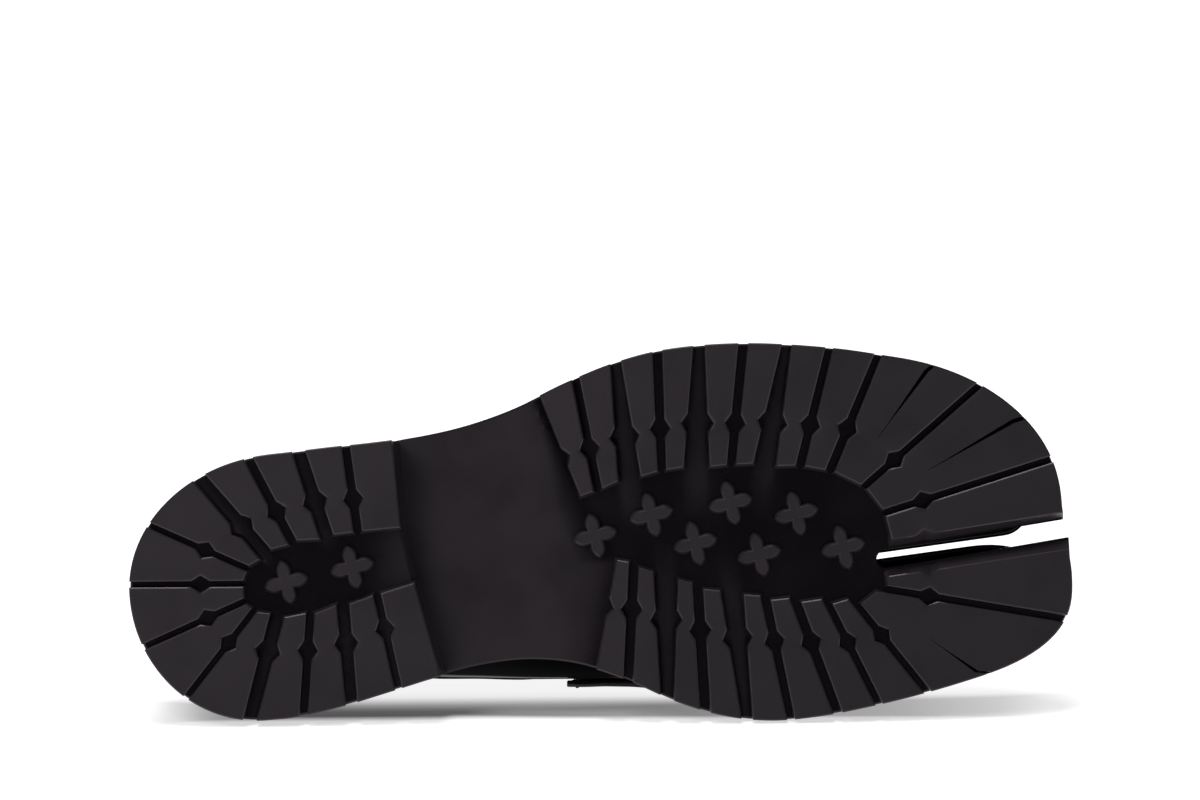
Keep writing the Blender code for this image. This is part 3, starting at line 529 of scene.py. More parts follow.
def linear(hex_value):
    """Linear colour with alpha from an sRGB hex value such as 1B1A1B."""
    parts = np.array([int(hex_value[i:i + 2], 16) for i in (0, 2, 4)]) / 255
    parts = np.where(parts <= 0.04045, parts / 12.92, ((parts + 0.055) / 1.055) ** 2.4)
    return (*parts.tolist(), 1.0)


def set_sockets(tree, node, inputs):
    """Set or link a node's inputs from pairs of a socket's name or number and a value or another socket."""
    for key, value in inputs:
        if isinstance(value, bpy.types.NodeSocket):
            tree.links.new(value, node.inputs[key])
        else:
            node.inputs[key].default_value = value


def add_node(tree, kind, inputs=(), stops=(), **settings):
    """Add a node, set its fields, set or link its inputs, and set a ramp's stops from pairs of a place and a
    grey value."""
    made = tree.nodes.new(kind)
    for field, value in settings.items():
        setattr(made, field, value)
    set_sockets(tree, made, inputs)
    for index, (place, value) in enumerate(stops):
        elements = made.color_ramp.elements
        stop = elements[index] if index < len(elements) else elements.new(place)
        stop.position = place
        stop.color = (value, value, value, 1.0)
    return made


def per_mm(size):
    """Texture scale that gives a pattern features of this size in millimetres."""
    return 1 / (size * MM)


def new_material(name):
    """Empty Principled material with its node tree, shader and Object coordinates."""
    material = bpy.data.materials.new(name)
    material.use_nodes = True
    tree = material.node_tree
    shader = tree.nodes["Principled BSDF"]
    place = add_node(tree, "ShaderNodeTexCoord").outputs["Object"]
    return material, tree, shader, place


# Rubber: the faint purple of its shine, and how much smoother and glossier its rubbed edges are
RUBBER_TINT = (1.0, 0.82, 1.0, 1.0)
RUBBED_SMOOTH = 0.26
RUBBED_COAT = 0.2


def moulded_rubber(name, colours):
    """Moulded black rubber: lug faces come out of the mould satin and grey, hollows are smoother and painted
    near black as shade, and the lugs' edges, at tread values past 1, are glossier and painted paler, partly
    as rubbed wear and partly as a painted highlight."""
    material, tree, shader, place = new_material(name)
    tread = add_node(tree, "ShaderNodeAttribute", attribute_name="tread").outputs["Fac"]
    cloud = add_node(tree, "ShaderNodeTexNoise", (
        ("Vector", place), ("Scale", per_mm(RUBBER_CLOUD)), ("Detail", 4.0)))
    grain = add_node(tree, "ShaderNodeTexNoise", (
        ("Vector", place), ("Scale", per_mm(RUBBER_GRAIN)), ("Detail", 3.0)))
    shade = add_node(tree, "ShaderNodeMapRange", (
        ("Value", cloud.outputs["Fac"]), ("From Min", 0.3), ("From Max", 0.7),
        ("To Min", 0.86), ("To Max", 1.14)))
    # Painted shade: the tread value mixes the faces' colour down to the hollows' near black
    body = add_node(tree, "ShaderNodeMix", (
        (MIX_SHARE, tread), (MIX_FIRST, linear(colours.rubber_hollow)),
        (MIX_SECOND, linear(colours.rubber_face))), data_type="RGBA")
    past = add_node(tree, "ShaderNodeMath", ((0, tread), (1, 1.0)), operation="SUBTRACT", use_clamp=True)
    # Painted highlight, partly rubbed wear: past a tread value of 1 the colour turns to the paler edge colour
    colour = add_node(tree, "ShaderNodeMix", (
        (MIX_SHARE, past.outputs[0]), (MIX_FIRST, body.outputs[MIX_RESULT]),
        (MIX_SECOND, linear(colours.rubber_edge))), data_type="RGBA")
    varied = add_node(tree, "ShaderNodeVectorMath", (
        (0, colour.outputs[MIX_RESULT]), ("Scale", shade.outputs[0])), operation="SCALE")
    satin = add_node(tree, "ShaderNodeMapRange", (("Value", tread), ("To Min", 0.22), ("To Max", 0.56)))
    rubbed = add_node(tree, "ShaderNodeMath", (
        (0, past.outputs[0]), (1, -RUBBED_SMOOTH), (2, satin.outputs[0])), operation="MULTIPLY_ADD")
    rough = add_node(tree, "ShaderNodeMath", (
        (0, rubbed.outputs[0]), (1, shade.outputs[0])), operation="MULTIPLY")
    gloss = add_node(tree, "ShaderNodeMath", ((0, past.outputs[0]), (1, RUBBED_COAT)), operation="MULTIPLY")
    bump = add_node(tree, "ShaderNodeBump", (
        ("Height", grain.outputs["Fac"]), ("Strength", 0.25), ("Distance", 0.06 * MM)))
    set_sockets(tree, shader, (
        ("Base Color", varied.outputs[0]), ("Roughness", rough.outputs[0]), ("Normal", bump.outputs[0]),
        ("Specular IOR Level", 0.3), ("Specular Tint", RUBBER_TINT), ("Coat Weight", gloss.outputs[0]),
        ("Coat Roughness", 0.2), ("Coat IOR", 1.8)))
    return material


def dressed_edge(name, colours):
    """Sanded and waxed edge of the midsole: even black with a low shine and faint layers."""
    material, tree, shader, place = new_material(name)
    layers = add_node(tree, "ShaderNodeTexNoise", (
        ("Vector", place), ("Scale", per_mm(EDGE_LAYERS)), ("Detail", 5.0)))
    rough = add_node(tree, "ShaderNodeMapRange", (
        ("Value", layers.outputs["Fac"]), ("To Min", 0.30), ("To Max", 0.52)))
    bump = add_node(tree, "ShaderNodeBump", (
        ("Height", layers.outputs["Fac"]), ("Strength", 0.2), ("Distance", 0.08 * MM)))
    set_sockets(tree, shader, (
        ("Base Color", linear(colours.edge)), ("Roughness", rough.outputs[0]), ("Normal", bump.outputs[0]),
        ("Specular IOR Level", 0.4)))
    return material


# Weight of the wax coat by how far the surface turns from the eye
WAX_BY_SKIM = ((0.0, 0.6), (0.52, 0.6), (0.68, 0.0), (0.88, 0.01), (0.905, 0.4), (0.928, 0.0))


def polished_leather(name, colours):
    """Box calf with a brushed wax finish: deep black, a clear coat of shine, fine pores and a soft
    unevenness."""
    material, tree, shader, place = new_material(name)
    pores = add_node(tree, "ShaderNodeTexVoronoi", (("Vector", place), ("Scale", per_mm(CALF_PORES))))
    hide = add_node(tree, "ShaderNodeTexNoise", (
        ("Vector", place), ("Scale", per_mm(CALF_SWELL)), ("Detail", 4.0)))
    rough = add_node(tree, "ShaderNodeMapRange", (
        ("Value", hide.outputs["Fac"]), ("From Min", 0.3), ("From Max", 0.7),
        ("To Min", 0.20), ("To Max", 0.30)))
    skim = add_node(tree, "ShaderNodeLayerWeight", (("Blend", 0.5),))
    wax = add_node(tree, "ShaderNodeValToRGB", (("Fac", skim.outputs["Facing"]),), WAX_BY_SKIM)
    swell = add_node(tree, "ShaderNodeBump", (
        ("Height", hide.outputs["Fac"]), ("Strength", 0.15), ("Distance", 0.25 * MM)))
    grain = add_node(tree, "ShaderNodeBump", (
        ("Height", pores.outputs["Distance"]), ("Strength", 0.18), ("Distance", 0.05 * MM),
        ("Normal", swell.outputs[0])))
    set_sockets(tree, shader, (
        ("Base Color", linear(colours.leather)), ("Roughness", rough.outputs[0]),
        ("Normal", grain.outputs[0]), ("Specular IOR Level", 0.0), ("Coat Weight", wax.outputs["Color"]),
        ("Coat Roughness", 0.2), ("Coat Normal", swell.outputs[0])))
    return material


def plain_leather(name, hex_value, pore, roughness):
    """Undressed lining leather: matte, with pores and a cloudy nap."""
    material, tree, shader, place = new_material(name)
    nap = add_node(tree, "ShaderNodeTexNoise", (
        ("Vector", place), ("Scale", per_mm(pore)), ("Detail", 6.0)))
    cloud = add_node(tree, "ShaderNodeTexNoise", (
        ("Vector", place), ("Scale", per_mm(LINING_CLOUD)), ("Detail", 3.0)))
    shade = add_node(tree, "ShaderNodeMapRange", (
        ("Value", cloud.outputs["Fac"]), ("To Min", 0.7), ("To Max", 1.3)))
    colour = add_node(tree, "ShaderNodeVectorMath", (
        (0, linear(hex_value)[:3]), ("Scale", shade.outputs[0])), operation="SCALE")
    bump = add_node(tree, "ShaderNodeBump", (
        ("Height", nap.outputs["Fac"]), ("Strength", 0.3), ("Distance", 0.12 * MM)))
    set_sockets(tree, shader, (
        ("Base Color", colour.outputs[0]), ("Roughness", roughness), ("Normal", bump.outputs[0])))
    return material


def waxed_thread(name, colours):
    """Waxed polyester thread: dull black, with a twist too fine to model."""
    material, tree, shader, place = new_material(name)
    twist = add_node(tree, "ShaderNodeTexNoise", (
        ("Vector", place), ("Scale", per_mm(THREAD_TWIST)), ("Detail", 2.0)))
    bump = add_node(tree, "ShaderNodeBump", (
        ("Height", twist.outputs["Fac"]), ("Strength", 0.5), ("Distance", 0.1 * MM)))
    set_sockets(tree, shader, (
        ("Base Color", linear(colours.thread)), ("Roughness", 0.6), ("Normal", bump.outputs[0]),
        ("Specular IOR Level", 0.1)))
    return material


# Glow of the light table by place along X and Y in millimetres: it dims in a strip under the shoe's front,
# a painted shadow along the shoe's contact with the floor
GLOW_REACH = 160.0
GLOW_SHADOW_X = ((-160, 0.90), (-139, 0.68), (-127, 0.42), (-105, 0.08), (-30, 0.08), (31, 0.26), (94, 0.42),
          (126, 0.60), (141, 0.78), (160, 0.90))
GLOW_SHADOW_Y = ((-160, 0.68), (-44, 0.68), (-35, 0.08), (-27, 0.10), (-22, 0.17), (-16, 0.31), (-11, 0.50),
          (-6, 0.71), (-1, 0.88), (9, 0.95))


def pale_floor(name, hex_value):
    """Matte white acrylic of a light table: lit from below too, so that shadows on it stay pale. Its glow at
    a place is the larger of those for its X and its Y; where both are low, in a strip under the shoe's front,
    the dimmed glow is a painted shadow."""
    material, tree, shader, place = new_material(name)
    grain = add_node(tree, "ShaderNodeTexNoise", (
        ("Vector", place), ("Scale", per_mm(FLOOR_GRAIN)), ("Detail", 2.0)))
    bump = add_node(tree, "ShaderNodeBump", (
        ("Height", grain.outputs["Fac"]), ("Strength", 0.05), ("Distance", 0.1 * MM)))
    axes = add_node(tree, "ShaderNodeSeparateXYZ", (("Vector", place),))
    glows = []
    for axis, table in (("X", GLOW_SHADOW_X), ("Y", GLOW_SHADOW_Y)):
        share = add_node(tree, "ShaderNodeMapRange", (
            ("Value", axes.outputs[axis]), ("From Min", -GLOW_REACH * MM), ("From Max", GLOW_REACH * MM)))
        stops = [(0.5 + 0.5 * at / GLOW_REACH, glow) for at, glow in table]
        ramp = add_node(tree, "ShaderNodeValToRGB", (("Fac", share.outputs[0]),), stops)
        glows.append(ramp.outputs["Color"])
    # Painted shadow: the glow is dimmed where both tables are low
    glow = add_node(tree, "ShaderNodeMath", enumerate(glows), operation="MAXIMUM")
    set_sockets(tree, shader, (
        ("Base Color", linear(hex_value)), ("Roughness", 0.9), ("Normal", bump.outputs[0]),
        ("Specular IOR Level", 0.1), ("Emission Color", linear(hex_value)),
        ("Emission Strength", glow.outputs[0])))
    return material


# Layers of the sole: two halves joined along the middle and parted by the toe split

# Outline that a layer follows: the function of its edge, and its round ends
Form = namedtuple("Form", "edge heel toe")
SOLE_FORM = Form(sole_edge, SOLE_HEEL, SOLE_TOE)
FOOTBED_FORM = Form(insole_edge, UPPER_HEEL, INSOLE_TOE)

# Where the sections go by angle round heel and nose, and how many there are in a quarter turn and a stretch
HEEL_ROUND = 50.0
TOE_NOSE = 8.0
ROUND_STEPS = 25
BODY_STEPS = 125
TOE_STEPS = 26

# Width from which a layer's edge has its full rounding, shares along its top, and its walls' tread value
EDGE_ROOM = 4.0
TOP_SHARES = np.array([0, 0.5, 1.0])
WALL_TREAD = 0.7

# Points across a layer's underside: a plain one, and one with a swell
PLAIN_UNDER = 6
SWELL_UNDER = 42


def layer_stations(form, inset, split, side):
    """X places of a layer's sections: by angle round the heel, the split's end and the toe's nose."""
    quarter = np.linspace(0, np.pi / 2, ROUND_STEPS)
    back = inset.heel + form.heel[side].tip
    heel = HEEL_ROUND - (HEEL_ROUND - back) * np.cos(quarter)
    body = np.linspace(HEEL_ROUND, SPLIT_END, BODY_STEPS)[1:]
    turn = SPLIT_END + split.half * (1 - np.cos(quarter[4::4]))
    tip = form.toe[side].tip - inset.fore
    toes = np.linspace(turn[-1], tip - TOE_NOSE, TOE_STEPS)[1:]
    nose = tip - TOE_NOSE + TOE_NOSE * np.sin(quarter[2::2])
    return np.concatenate((heel, body, turn, toes, nose))


def middle_line(side, x, split):
    """Y of a half's inner edge: an eased line up the middle, then the round end and the side of the split."""
    behind = HEEL_CENTRE + (split.end_y - HEEL_CENTRE) * smoothstep(0, SPLIT_END, x)
    turn = np.clip(1 - (x - SPLIT_END) / split.half, 0, 1)
    beside = split_line(split, x) + side * split.half * np.sqrt(1 - turn ** 2)
    return np.where(x <= SPLIT_END, behind, beside)


def layer_sheets(form, inset, split, low, high, rounding, across, under=None, foot=None):
    """Both halves of a layer. A section runs along the top from the middle out, down the wall, whose corners
    are cut by the rounding, and along the underside back in; under gives there a swell and a tread value.
    foot is the wall's inset at its lower edge, where it isn't the same as above."""
    sheets = []
    foot = foot or inset
    above = len(TOP_SHARES) + 1
    for side in (LATERAL, MEDIAL):
        places = layer_stations(form, inset, split, side)
        x = places[:, None]
        tip = form.toe[side].tip - inset.fore
        low_x = x + (inset.fore - foot.fore) * smoothstep(tip - 3 * TOE_NOSE, tip, x)
        rim, low_rim = form.edge(side, x, inset), form.edge(side, low_x, foot)
        middle = middle_line(side, x, split)
        soft = rounding * np.clip(np.abs(rim - middle) / EDGE_ROOM, 0, 1)
        outer, low_outer = rim - side * soft, low_rim - side * soft
        top_y = middle + (outer - middle) * TOP_SHARES
        under_y = low_outer + (middle - low_outer) * np.linspace(0, 1, across)
        swell, tread = under(low_x, under_y) if under else (np.zeros_like(under_y), np.ones_like(under_y))
        top_z = np.broadcast_to(high(x), top_y.shape)
        wall_z = np.concatenate((high(x) - soft, low(low_x) - swell[:, :1] + soft), axis=1)
        y = np.concatenate((top_y, rim, low_rim, under_y), axis=1)
        z = np.concatenate((top_z, wall_z, low(low_x) - swell), axis=1)
        xs = np.concatenate((np.repeat(x, above, axis=1), np.repeat(low_x, across + 1, axis=1)), axis=1)
        points = np.stack((xs, y, z), axis=-1)
        values = np.concatenate((np.full((len(places), above + 1), WALL_TREAD), tread), axis=1)
        rows, columns = y.shape
        keep = np.ones((rows - 1, columns), bool)
        keep[places[:-1] < SPLIT_END, -1] = False
        front = range((rows - 1) * columns, rows * columns)
        sheets.append(grid_sheet(points, values, wrap=True, caps=(front,), keep=keep))
    return sheets


# Lugs: each fills the space between two grooves, from the hollow middle to the edge

# Steps of the tread's outline: in a quarter turn, and in millimetres on its straighter sides
FINE_TURNS = 60
FINE_STEP = 1.0


def tread_edge():
    """Dense outline of the tread against the clock."""
    sides = []
    for side in (LATERAL, MEDIAL):
        heel, toe = SOLE_HEEL[side], SOLE_TOE[side]
        quarter = np.linspace(0, np.pi / 2, FINE_TURNS)
        back = heel.start - (heel.start - heel.tip) * np.cos(quarter)
        body = np.arange(heel.start + FINE_STEP, toe.start, FINE_STEP)
        front = toe.start + (toe.tip - toe.start) * np.sin(quarter)
        x = np.concatenate((back, body, front))
        sides.append(np.stack((x, sole_edge(side, x, TREAD_INSET)), axis=1))
    return np.concatenate((sides[0], sides[1][:0:-1]))


EDGE_PATH = tread_edge()
EDGE_STEP = np.roll(EDGE_PATH, -1, axis=0) - EDGE_PATH
EDGE_RUN = np.hypot(EDGE_STEP[:, 0], EDGE_STEP[:, 1])
EDGE_START = np.concatenate(([0.0], np.cumsum(EDGE_RUN)))
EDGE_LOOP = np.concatenate((EDGE_PATH, EDGE_PATH[:1]))


def edge_points(distances):
    """Points of the tread's outline at distances along it."""
    distances = np.mod(distances, EDGE_START[-1])
    return np.stack([np.interp(distances, EDGE_START, EDGE_LOOP[:, axis]) for axis in (0, 1)], axis=-1)


def cross2(a, b):
    """Z of the cross product of plan vectors."""
    return a[..., 0] * b[..., 1] - a[..., 1] * b[..., 0]


def edge_crossing(start, along):
    """Distance along the outline where a ray from start first meets it."""
    offset = EDGE_PATH - start
    cross = cross2(along, EDGE_STEP)
    cross = np.where(np.abs(cross) < TINY, TINY, cross)
    reach = cross2(offset, EDGE_STEP) / cross
    share = cross2(offset, np.asarray(along)) / cross
    hit = np.where((share >= 0) & (share < 1) & (reach > 0), reach, np.inf)
    i = int(np.argmin(hit))
    return EDGE_START[i] + share[i] * EDGE_RUN[i]


# Rows along a lug from its root to the edge: stretches end at the root, three points of the notch, the edge.
# The crease lies at the notch's middle, and the last stretch bends out to the edge
LUG_ROWS = np.concatenate((
    np.linspace(0, 1, 5)[:-1], np.linspace(1, 2, 3)[:-1], np.linspace(2, 3, 3)[:-1], np.linspace(3, 4, 12)))
NOTCH_ROW = 2
OUTER_ROW = 3
CREASE_ROWS = 0.3

# Width of a lug's columns and the fewest that it has, and how near the split a lug's wall stands on its side
LUG_COLUMN = 1.8
FEWEST_COLUMNS = 6
SPLIT_BESIDE = 7.5

# Rise of a bevel by its width, share of the draft at a lug's inner end, and tread value of an edge, painted
# paler partly as rubbed wear and partly as a highlight
BEVEL_RISE = 0.8
INNER_DRAFT = 2.0
EDGE_TREAD = 2.0

# Least divisor of a mitre, which keeps sharp corners from running far out
MITRE_LEAST = 0.45

# How a ring's lugs end at the hollow: cut back in millimetres, and the share by which the end is squared
CutEnd = namedtuple("CutEnd", "back square")
LATERAL_END = CutEnd(1.0, 0.3)
MEDIAL_END = CutEnd(0.3, 0.65)
HEEL_END = CutEnd(0.2, 0.0)


def flank(groove, turn):
    """Knots of one side of a groove from root to edge with its half diamond, and where it ends."""
    root = np.array((groove.root_x, groove.root_y))
    mouth = np.array((groove.mouth_x, groove.mouth_y))
    along = (mouth - root) / np.linalg.norm(mouth - root)
    across = np.array((-along[1], along[0])) * turn
    root = root + across * groove.root_w / 2
    mouth = mouth + across * groove.mouth_w / 2
    along = (mouth - root) / np.linalg.norm(mouth - root)
    distance = edge_crossing(root, along)
    middle = root + (mouth - root) * (groove.notch or PLAIN_NOTCH)
    depth = NOTCH_DEPTH if groove.notch else 0.0
    return np.stack((root, middle - along * NOTCH_HALF, middle + across * depth, middle + along * NOTCH_HALF,
                     edge_points(distance))), distance


def flank_rows(knots, shift):
    """Row of points along a flank's knots, its root first moved along the flank by the shift."""
    along = (knots[1] - knots[0]) / np.linalg.norm(knots[1] - knots[0])
    knots = np.concatenate((knots[:1] + along * shift, knots[1:]))
    stops = np.arange(len(knots))
    return np.stack([np.interp(LUG_ROWS, stops, knots[:, axis]) for axis in (0, 1)], axis=-1)


def loop_offsets(loop):
    """Outward offset directions at the points of a closed plan loop, mitred so that sides move evenly."""
    step = np.roll(loop, -1, axis=0) - loop
    step = step / np.maximum(np.linalg.norm(step, axis=1, keepdims=True), TINY)
    spin = np.sign(np.sum(cross2(loop, np.roll(loop, -1, axis=0))))
    normal = np.stack((step[:, 1], -step[:, 0]), axis=1) * spin
    before = np.roll(normal, 1, axis=0)
    even = np.sum(before * normal, axis=1, keepdims=True)
    return (before + normal) / np.maximum(1 + even, MITRE_LEAST)


def border_of(rows, columns):
    """Numbers of a grid's border points in order round it."""
    number = np.arange(rows * columns).reshape(rows, columns)
    return np.concatenate((number[:-1, 0], number[-1, :-1], number[:0:-1, -1], number[0, :0:-1]))


def lug_columns(first, second, sipe_line):
    """Shares across a lug for each row, evenly spread, or crowded at a cut that begins at the edge, and how
    much of the cut's depth each point has."""
    width = np.linalg.norm(second - first, axis=1)
    count = max(int(round(width.max() / LUG_COLUMN)), FEWEST_COLUMNS)
    if sipe_line is None:
        cut = np.zeros((len(LUG_ROWS), count))
        return np.broadcast_to(np.linspace(0, 1, count), cut.shape), cut
    centre, half, depth = sipe_line
    left = np.linspace(0, 1, count // 2)[None] * (centre - half)[:, None]
    right = (centre + half)[:, None] + np.linspace(0, 1, count // 2)[None] * (1 - centre - half)[:, None]
    shares = np.concatenate((left, centre[:, None], right), axis=1)
    cut = np.zeros_like(shares)
    cut[:, count // 2] = depth
    return shares, cut


def sipe_on(first, second, start, end):
    """Centre share, half width in shares and depth by row of a cut that begins on this stretch of the edge.
    The share is where the cut's straight line crosses the row, which runs straight from flank to flank."""
    for sipe in SIPES:
        tip = np.array((sipe.tip_x, sipe.tip_y))
        along = np.array((sipe.mouth_x, sipe.mouth_y)) - tip
        place = edge_crossing(tip, along)
        if not start < place < end:
            continue
        across = second - first
        share = cross2(tip - first, along) / cross2(across, along)
        reach = cross2(tip - first, across) / cross2(across, along)
        way = np.clip(reach, 0, 1)
        way[-1] = 1
        share[-1] = (place - start) / (end - start)
        half = np.maximum(SIPE_WIDTH * way, SIPE_TIP) / 2 / np.linalg.norm(across, axis=1)
        return np.clip(share, *SIPE_SHARES), half, way ** SIPE_PLUNGE
    return None


def lug_sheet(before, after, sizes, lift, cut_end):
    """One lug as a closed shell. Its face is the ruled patch between two flanks, bent out to the sole's edge;
    a bevelled rim, a drafted wall and a hidden base follow its border. lift gives the sole's curve by x, and
    cut_end how far its inner end is cut back and turned square to the lug."""
    first, start = flank(before, 1)
    second, end = flank(after, -1)
    if end < start:
        end += EDGE_START[-1]
    axis = first[-1] + second[-1] - first[0] - second[0]
    slant = (second[0] - first[0]).dot(axis) / np.linalg.norm(axis) / 2 * cut_end.square
    first = flank_rows(first, cut_end.back + slant)
    second = flank_rows(second, cut_end.back - slant)
    shares, cut = lug_columns(first, second, sipe_on(first, second, start, end))
    plan = first[:, None] + (second - first)[:, None] * shares[..., None]
    outward = np.clip(LUG_ROWS - OUTER_ROW, 0, 1)[:, None, None]
    plan = plan + outward * (edge_points(start + (end - start) * shares[-1]) - plan[-1])[None]
    crease = np.exp(-((LUG_ROWS - NOTCH_ROW) / CREASE_ROWS) ** 2)[:, None] * (2 * shares - 1) ** 2
    height = sizes.lug_crease / MM * crease + (LUG_DEPTH - SIPE_FLOOR) * cut
    rows, columns = plan.shape[:2]
    border = border_of(rows, columns)
    count = len(border)
    flat = plan.reshape(-1, 2)
    loop = flat[border]
    away = loop_offsets(loop)
    bevel, draft = sizes.lug_bevel / MM, sizes.lug_draft / MM
    top = flat.copy()
    top[border] = loop - away * bevel
    rim_z = height.reshape(-1)[border]
    outer_end = border >= (rows - 1) * columns
    spread = np.where(outer_end, 0.0, np.where(border < columns, INNER_DRAFT, 1.0)) * draft
    root = loop + away * spread[:, None]
    beside = root[:, 1] - split_line(OUTSOLE_SPLIT, root[:, 0])
    in_split = (root[:, 0] > SPLIT_END + 1) & (np.abs(beside) < SPLIT_BESIDE)
    at_wall = root[:, 1] - beside + np.sign(beside) * OUTSOLE_SPLIT.half
    root[:, 1] = np.where(in_split, at_wall, root[:, 1])
    plans = np.concatenate((top, loop, root))
    z = np.concatenate((height.reshape(-1), rim_z + bevel * BEVEL_RISE, np.full(count, LUG_DEPTH + LUG_ROOT)))
    points = np.column_stack((plans, z - LUG_DEPTH + lift(plans[:, 0])))
    # Painted shade: outside the split, the wall's colour darkens from the pale rim to the hollows' near black
    # at the root
    tread = np.concatenate((
        1 - cut.reshape(-1), np.full(count, EDGE_TREAD), np.where(in_split, WALL_TREAD, 0.0)))
    here = np.arange(count)
    there = np.roll(here, -1)
    rim, base = rows * columns, rows * columns + count
    quads = np.concatenate((
        grid_quads(rows, columns),
        np.stack((border[here], border[there], rim + there, rim + here), axis=1),
        np.stack((rim + here, rim + there, base + there, base + here), axis=1)))
    return Sheet(points, quads, [list(range(base, base + count))], tread)


def lug_sheets(ring, sizes, lift, cut_end):
    """The lugs of a ring of grooves, one between each two."""
    return [lug_sheet(before, after, sizes, lift, cut_end) for before, after in zip(ring, ring[1:])]


# Leaves of a stud, points round it, and its profile from foot to face: offset from its outline, height over
# the hollow and tread value
STUD_LEAVES = 4
STUD_STEPS = 96
# Painted shade and highlight: the tread value is near 0 at the foot, in the hollow's painted shade, and past
# 1 up the wall and at the shoulder, a painted highlight
STUD_PROFILE = np.array([
    (0.9, -LUG_ROOT, 0.0), (0.6, 0.0, 0.05), (0.1, 3.7, 1.5), (-0.15, 4.1, EDGE_TREAD),
    (-0.5, STUD_HEIGHT, 1.0)])


def stud_sheet(centre, lift):
    """Cross of four pointed leaves: in plan a leaf's half is repeated, mirrored, eight times round the
    centre. Rings, offset square to that outline, go from a drafted foot over a bevelled shoulder to a flat
    face, and two more close it to its centre."""
    angle = np.linspace(0, 2 * np.pi, STUD_STEPS, endpoint=False)
    fold = np.abs((angle * STUD_LEAVES / (2 * np.pi) + 0.5) % 1 - 0.5) * 360 / STUD_LEAVES
    radius = np.interp(fold, [leaf.x for leaf in STUD_LEAF], [leaf.radius for leaf in STUD_LEAF])
    turn = angle + math.radians(STUD_TURN)
    leaves = np.stack((radius * np.cos(turn), radius * np.sin(turn)), axis=-1)
    away = loop_offsets(leaves)
    offset, height, tread = STUD_PROFILE.T[..., None]
    rings = leaves + away * offset[..., None]
    rings = np.concatenate((rings, rings[-1:] * 0.5, rings[-1:] * 0))
    x, y = centre.x + rings[..., 0], centre.y + rings[..., 1]
    height = np.concatenate((height, np.full((2, 1), STUD_HEIGHT)))
    z = lift(np.full_like(x, centre.x)) - height
    tread = np.broadcast_to(np.concatenate((tread, np.ones((2, 1)))), x.shape)
    return grid_sheet(np.stack((x, y, z), axis=-1), tread, wrap=True, caps=(range(len(angle)),))


# The waist's front edge, and its ramp there: lengths on the lateral and medial side, and the width over which
# one turns into the other
WAIST_LINE = (Place(133.4, -52.4), Place(144.4, -19.8), Place(154.4, -0.5), Place(145.9, 33.3))
WAIST_RAMP = (3.0, 13.0)
WAIST_EASE = 45.0

# The waist's tread value, which holds painted light: at the breast, how much it falls away from it and over
# what distance, and how much less it falls from the first to the second of two places across. It is painted
# lighter at the breast, against the shadow that the heel casts there, and lighter towards the medial edge
WAIST_TREAD = 0.95
WAIST_FALL = 0.47
WAIST_SHADE = 14.0
WAIST_MEDIAL = 0.2
WAIST_SIDES = (-5.0, 28.0)

# Bands on the floors of wide grooves: the least width, how far they run on past the root, how they fade
# across and along, and their tread values. The heel's have a share of the height
WIDE_GROOVE = 3.9
FORE_BAND = 16.0
HEEL_BAND = 4.0
BAND_FADE = (0.55, 1.1)
BAND_FULL = 3.0
FORE_BAND_TREAD = 0.26
HEEL_BAND_TREAD = 0.12
HEEL_BAND_SHARE = 0.6

# The heel's ramp up to the breast: where it starts and ends, its height and its tread value
HEEL_RAMP = (72.0, 92.0)
HEEL_RAMP_HEIGHT = 1.0
HEEL_RAMP_TREAD = 0.5


def groove_bands(ring, x, y, reach):
    """Pale band along each wide groove: level across its floor, fading out past its root into the hollow."""
    bands = np.zeros(np.broadcast(x, y).shape)
    for groove in ring:
        if groove.root_w < WIDE_GROOVE:
            continue
        run = np.array((groove.mouth_x - groove.root_x, groove.mouth_y - groove.root_y))
        length = np.linalg.norm(run)
        run = run / length
        along = (x - groove.root_x) * run[0] + (y - groove.root_y) * run[1]
        across = (x - groove.root_x) * run[1] - (y - groove.root_y) * run[0]
        half = groove.root_w / 2 + (groove.mouth_w - groove.root_w) / 2 * np.clip(along / length, 0, 1)
        level = 1 - smoothstep(*BAND_FADE, np.abs(across) / half)
        bands = np.maximum(bands, level * smoothstep(-reach, BAND_FULL, along))
    return bands


def forefoot_under(sizes):
    """Swell and tread value of the outsole's underside: the raised waist, its soft ramp and the grooves'
    bands."""
    def under(x, y):
        front = np.interp(y, [row.y for row in WAIST_LINE], [row.x for row in WAIST_LINE])
        ramp = WAIST_RAMP[0] + (WAIST_RAMP[1] - WAIST_RAMP[0]) * smoothstep(-WAIST_EASE, 0, y)
        waist = 1 - smoothstep(front - ramp, front + 1, x)
        bands = groove_bands(FORE_LATERAL + FORE_MEDIAL, x, y, FORE_BAND)
        swell = sizes.waist_raise / MM * waist + sizes.groove_ramp / MM * bands * (1 - waist)
        # Painted light: the waist is lighter near the breast, where the heel shades it, and lighter towards
        # the medial side
        away = smoothstep(0, WAIST_SHADE, x - BREAST_X(y) - BREAST_LEAN)
        shade = WAIST_TREAD - (WAIST_FALL - WAIST_MEDIAL * smoothstep(*WAIST_SIDES, y)) * away
        return swell, np.maximum(waist * shade, bands * FORE_BAND_TREAD)

    return under


def heel_under(sizes):
    """Swell and tread value of the heel's underside: the grooves' bands and a ramp up to the breast."""
    def under(x, y):
        ramp = smoothstep(*HEEL_RAMP, x)
        bands = groove_bands(HEEL_RING, x, y, HEEL_BAND)
        swell = sizes.groove_ramp / MM * bands * HEEL_BAND_SHARE + HEEL_RAMP_HEIGHT * ramp
        return swell, np.maximum(bands * HEEL_BAND_TREAD, ramp * HEEL_RAMP_TREAD)

    return under


